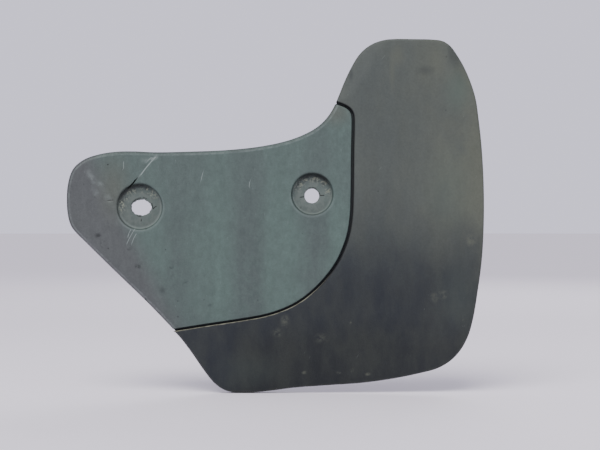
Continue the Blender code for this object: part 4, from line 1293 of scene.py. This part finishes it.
class MUDFLAP_OT_rubber_flap(bpy.types.Operator):
    """Make the rubber flap with the tongue that is clamped behind the carrier"""

    bl_idname = "mud_flap.rubber_flap"
    bl_label = "Rubber Flap"

    def execute(self, context):
        sizes = context.scene.mud_flap_sizes
        points, triangles, front, back = tongue_parts(sizes)
        far = np.full(len(points), 20.0)
        nothing = np.zeros(len(points))
        tongue = plate_mesh("tongue", points, triangles, front, back, {"edge": far, "seam": far})
        tongue.attributes["front"].data.foreach_set("value", np.zeros(2 * len(points), np.float32))
        bm = bmesh.new()
        bm.from_mesh(flap_mesh(sizes))
        bm.from_mesh(tongue)
        mesh = bpy.data.meshes.new("rubber_flap")
        bm.to_mesh(mesh)
        bm.free()
        piece = new_piece("rubber_flap", mesh, flap_rubber(context.scene.mud_flap_colours))
        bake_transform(piece)
        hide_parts("rubber_flap_root", "rubber_flap_blade")
        return {"FINISHED"}


class MUDFLAP_OT_clamp_strip(bpy.types.Operator):
    """Make the steel strip that clamps the flap's tongue to the carrier"""

    bl_idname = "mud_flap.clamp_strip"
    bl_label = "Clamp Strip"

    def execute(self, context):
        sizes = context.scene.mud_flap_sizes
        band = seam_band(clamped_seam(), STRIP_NEAR, STRIP_FAR)
        boss = circle(ROUND_HOLE["boss"], ROUND_HOLE["recess"] + BOSS_WALL + BOSS_CLEARANCE)
        holes = [circle(place, SCREW_SHANK_RADIUS + 0.0006, 28) for place in screw_places()]

        def keep(points):
            kept = inside_loop(points, band)
            for loop in [boss, *holes]:
                kept &= ~inside_loop(points, loop)
            return kept

        soft = 0.0004
        inner = [offset_run(band, soft * share, closed=True) for share in (0.2, 0.55, 1.0)]
        inner += [circle(ROUND_HOLE["boss"], ROUND_HOLE["recess"] + BOSS_WALL + BOSS_CLEARANCE + soft)]
        points, triangles = flat_mesh(keep, [band, boss, *holes, *inner], [], sizes.mesh_step)
        distance, _ = nearest_on_run(points, band, closed=True)
        to_boss, _ = nearest_on_run(points, boss, closed=True)
        drop = edge_drop(np.minimum(distance, to_boss), soft)
        face = front_y(points)
        mesh = plate_mesh("steel_strip", points, triangles, face + STRIP_FRONT + drop, face + STRIP_BACK - drop, {})
        colours = context.scene.mud_flap_colours
        material = plated_steel("Strip steel", colours.strip_zinc, colours.rust, 0.38)
        piece = new_piece("steel_strip", mesh, material)
        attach(piece, "carrier")
        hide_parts("clamp_strip")
        return {"FINISHED"}


def screw_mesh():
    """A pan-head tapping screw with a pressed washer face and a cross recess, with its seat at the origin."""
    head = SCREW_HEAD_RADIUS
    top = SCREW_HEAD_HEIGHT
    shank = SCREW_SHANK_RADIUS
    profile = [(0, top), (0.30 * head, 0.99 * top), (0.48 * head, 0.93 * top), (0.60 * head, 0.78 * top)]
    profile += [(0.66 * head, 0.55 * top), (0.70 * head, 0.42 * top), (0.90 * head, 0.36 * top)]
    profile += [(0.98 * head, 0.28 * top), (head, 0.16 * top), (0.98 * head, 0.04 * top), (0.94 * head, 0)]
    profile += [(shank, 0), (shank, -0.85 * SCREW_LENGTH), (0.4 * shank, -SCREW_LENGTH), (0, -SCREW_LENGTH)]
    screw = bpy.data.objects.new("screw_blank", turned_mesh("screw_blank", profile, 40))
    bpy.context.scene.collection.objects.link(screw)
    bm = bmesh.new()
    arm, web = 0.39 * head, 0.085 * head
    rings = []
    for height, share in ((1.6 * top, 1.0), (0.4 * top, 0.55)):
        ring = []
        for quarter in range(4):
            turn = Matrix.Rotation(quarter * math.pi / 2, 4, "Z") @ Matrix.Diagonal((share, share, 1, 1))
            ring += [bm.verts.new(turn @ Vector((x, y, height))) for x, y in ((arm, -web), (arm, web), (web, web))]
        rings.append(ring)
    upper, lower = rings
    bm.faces.new(upper)
    bm.faces.new(lower[::-1])
    for k in range(len(upper)):
        bm.faces.new((upper[k - 1], lower[k - 1], lower[k], upper[k]))
    cross = bpy.data.meshes.new("cross")
    bm.to_mesh(cross)
    bm.free()
    cutter = bpy.data.objects.new("cross", cross)
    bpy.context.scene.collection.objects.link(cutter)
    cut = screw.modifiers.new("Cross", "BOOLEAN")
    cut.operation = "DIFFERENCE"
    cut.object = cutter
    bpy.context.view_layer.update()
    mesh = bpy.data.meshes.new_from_object(screw.evaluated_get(bpy.context.evaluated_depsgraph_get()))
    for spare in (screw, cutter):
        bpy.data.objects.remove(spare)
    bm = bmesh.new()
    bm.from_mesh(mesh)
    bmesh.ops.triangulate(bm, faces=bm.faces)
    bmesh.ops.dissolve_degenerate(bm, dist=0.000002, edges=bm.edges)
    slivers = [face for face in bm.faces if face.calc_area() < 1e-12]
    bmesh.ops.delete(bm, geom=slivers, context="FACES")
    bm.to_mesh(mesh)
    bm.free()
    mesh.shade_smooth()
    mesh.set_sharp_from_angle(angle=math.radians(35))
    return mesh


class MUDFLAP_OT_strip_screws(bpy.types.Operator):
    """Make the tapping screws along the clamp strip"""

    bl_idname = "mud_flap.strip_screws"
    bl_label = "Strip Screws"

    def execute(self, context):
        colours = context.scene.mud_flap_colours
        material = plated_steel("Screw steel", colours.screw_zinc, colours.rust, 0.30)
        matrices = []
        for number, place in enumerate(screw_places()):
            turn = Matrix.Rotation(0.7 * number, 4, "Z")
            matrices.append(back_matrix(place, SCREW_SEAT) @ turn)
        mesh = copies_mesh("tapping_screws", screw_mesh(), matrices, [(1, 1, 1)] * len(matrices), material)
        piece = new_piece("tapping_screws", mesh, material)
        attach(piece, "carrier")
        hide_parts(*(f"strip_screw_{number}" for number in range(1, len(matrices) + 1)))
        return {"FINISHED"}


# The stage.


def add_light(name, kind, place, target, colour, **settings):
    light = bpy.data.lights.new(name, kind)
    light.color = colour
    for setting, value in settings.items():
        setattr(light, setting, value)
    lamp = bpy.data.objects.new(name, light)
    bpy.context.scene.collection.objects.link(lamp)
    lamp.location = place
    lamp.rotation_euler = (Vector(target) - Vector(place)).to_track_quat("-Z", "Y").to_euler()
    return lamp


def add_floor(colours, height):
    bm = bmesh.new()
    bmesh.ops.create_circle(bm, cap_ends=True, segments=96, radius=14.0)
    mesh = bpy.data.meshes.new("floor")
    bm.to_mesh(mesh)
    bm.free()
    material, tree, shader, _, parts = new_material("Pale floor")
    # Painted light: the floor is lighter on the camera's side of the part.
    near = rise(tree, parts["Y"], 0.60, -0.12)
    tree.links.new(blend_colour(tree, near, colours.floor_far, colours.floor_near), shader.inputs["Base Color"])
    shader.inputs["Roughness"].default_value = 0.85
    shader.inputs["Specular IOR Level"].default_value = 0.15
    mesh.materials.append(material)
    floor = bpy.data.objects.new("floor", mesh)
    bpy.context.scene.collection.objects.link(floor)
    floor.location = (0, 0, height)
    floor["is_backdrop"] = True


def add_surroundings(colours, lights):
    """Pale surroundings, which show brighter than the light they give so that the light panels can shape the part."""
    world = bpy.data.worlds.new("Surroundings")
    world.use_nodes = True
    tree = world.node_tree
    light = tree.nodes["Background"]
    light.inputs["Color"].default_value = colours.backdrop
    light.inputs["Strength"].default_value = lights.sky
    seen = add_node(tree, "ShaderNodeBackground", {"Color": colours.backdrop, "Strength": lights.backdrop})
    ray = add_node(tree, "ShaderNodeLightPath").outputs["Is Camera Ray"]
    mixed = add_node(tree, "ShaderNodeMixShader", {0: ray, 1: light.outputs[0], 2: seen.outputs[0]})
    tree.links.new(mixed.outputs[0], tree.nodes["World Output"].inputs["Surface"])
    bpy.context.scene.world = world


def add_camera():
    """A level camera square to the plate, at the distance and width of view that show it whole."""
    lens = bpy.data.cameras.new("camera")
    distance = 0.720
    lens.sensor_width = 36.0
    lens.lens = 36.0 * distance / 0.3278
    camera = bpy.data.objects.new("camera", lens)
    bpy.context.scene.collection.objects.link(camera)
    camera.location = (-0.0065, -CARRIER_DEPTH - distance, -0.0160)
    camera.rotation_euler = (math.pi / 2, 0, 0)
    bpy.context.scene.camera = camera


class MUDFLAP_OT_stage(bpy.types.Operator):
    """Make the floor, the soft light and the camera"""

    bl_idname = "mud_flap.stage"
    bl_label = "Stage"

    def execute(self, context):
        colours = context.scene.mud_flap_colours
        lights = context.scene.mud_flap_lights
        lowest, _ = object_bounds()
        add_floor(colours, lowest.z - 0.0001)
        add_surroundings(colours, lights)
        middle = (-0.02, 0.0, -0.01)
        add_light("sun", "SUN", (-0.5, -1.2, 1.9), middle, (1.0, 0.99, 0.97), energy=lights.sun, angle=math.radians(35))
        panel = {"shape": "RECTANGLE", "size": 0.9, "size_y": 0.6}
        add_light("panel", "AREA", (-0.25, -1.0, 0.95), middle, (1.0, 1.0, 1.0), energy=lights.panel, **panel)
        add_light("rear", "AREA", (0.35, 1.1, 0.80), middle, (1.0, 1.0, 1.0), energy=lights.panel * 1.5, **panel)
        add_camera()
        return {"FINISHED"}


class MUDFLAP_PT_sidebar(bpy.types.Panel):
    """Buttons and settings for the mud flap"""

    bl_idname = "MUDFLAP_PT_sidebar"
    bl_label = "Mud Flap"
    bl_space_type = "VIEW_3D"
    bl_region_type = "UI"
    bl_category = "Mud Flap"

    def draw(self, context):
        column = self.layout.column()
        for operator in OPERATORS:
            column.operator(operator.bl_idname)
        for settings in ("mud_flap_sizes", "mud_flap_colours", "mud_flap_lights"):
            box = self.layout.box()
            group = getattr(context.scene, settings)
            for name in group.__annotations__:
                box.prop(group, name)


OPERATORS = (
    MUDFLAP_OT_carrier_plate, MUDFLAP_OT_carrier_ribs, MUDFLAP_OT_screw_studs, MUDFLAP_OT_rubber_flap,
    MUDFLAP_OT_clamp_strip, MUDFLAP_OT_strip_screws, MUDFLAP_OT_stage,
)
CLASSES = (MudFlapSizes, MudFlapColours, MudFlapLights, *OPERATORS, MUDFLAP_PT_sidebar)


def register():
    for cls in CLASSES:
        bpy.utils.register_class(cls)
    bpy.types.Scene.mud_flap_sizes = PointerProperty(type=MudFlapSizes)
    bpy.types.Scene.mud_flap_colours = PointerProperty(type=MudFlapColours)
    bpy.types.Scene.mud_flap_lights = PointerProperty(type=MudFlapLights)


def unregister():
    del bpy.types.Scene.mud_flap_lights
    del bpy.types.Scene.mud_flap_colours
    del bpy.types.Scene.mud_flap_sizes
    for cls in reversed(CLASSES):
        bpy.utils.unregister_class(cls)


def main():
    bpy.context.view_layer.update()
    register()
    bpy.ops.mud_flap.carrier_plate()
    bpy.ops.mud_flap.carrier_ribs()
    bpy.ops.mud_flap.screw_studs()
    bpy.ops.mud_flap.rubber_flap()
    bpy.ops.mud_flap.clamp_strip()
    bpy.ops.mud_flap.strip_screws()
    bpy.ops.mud_flap.stage()


if __name__ == "__main__":
    main()
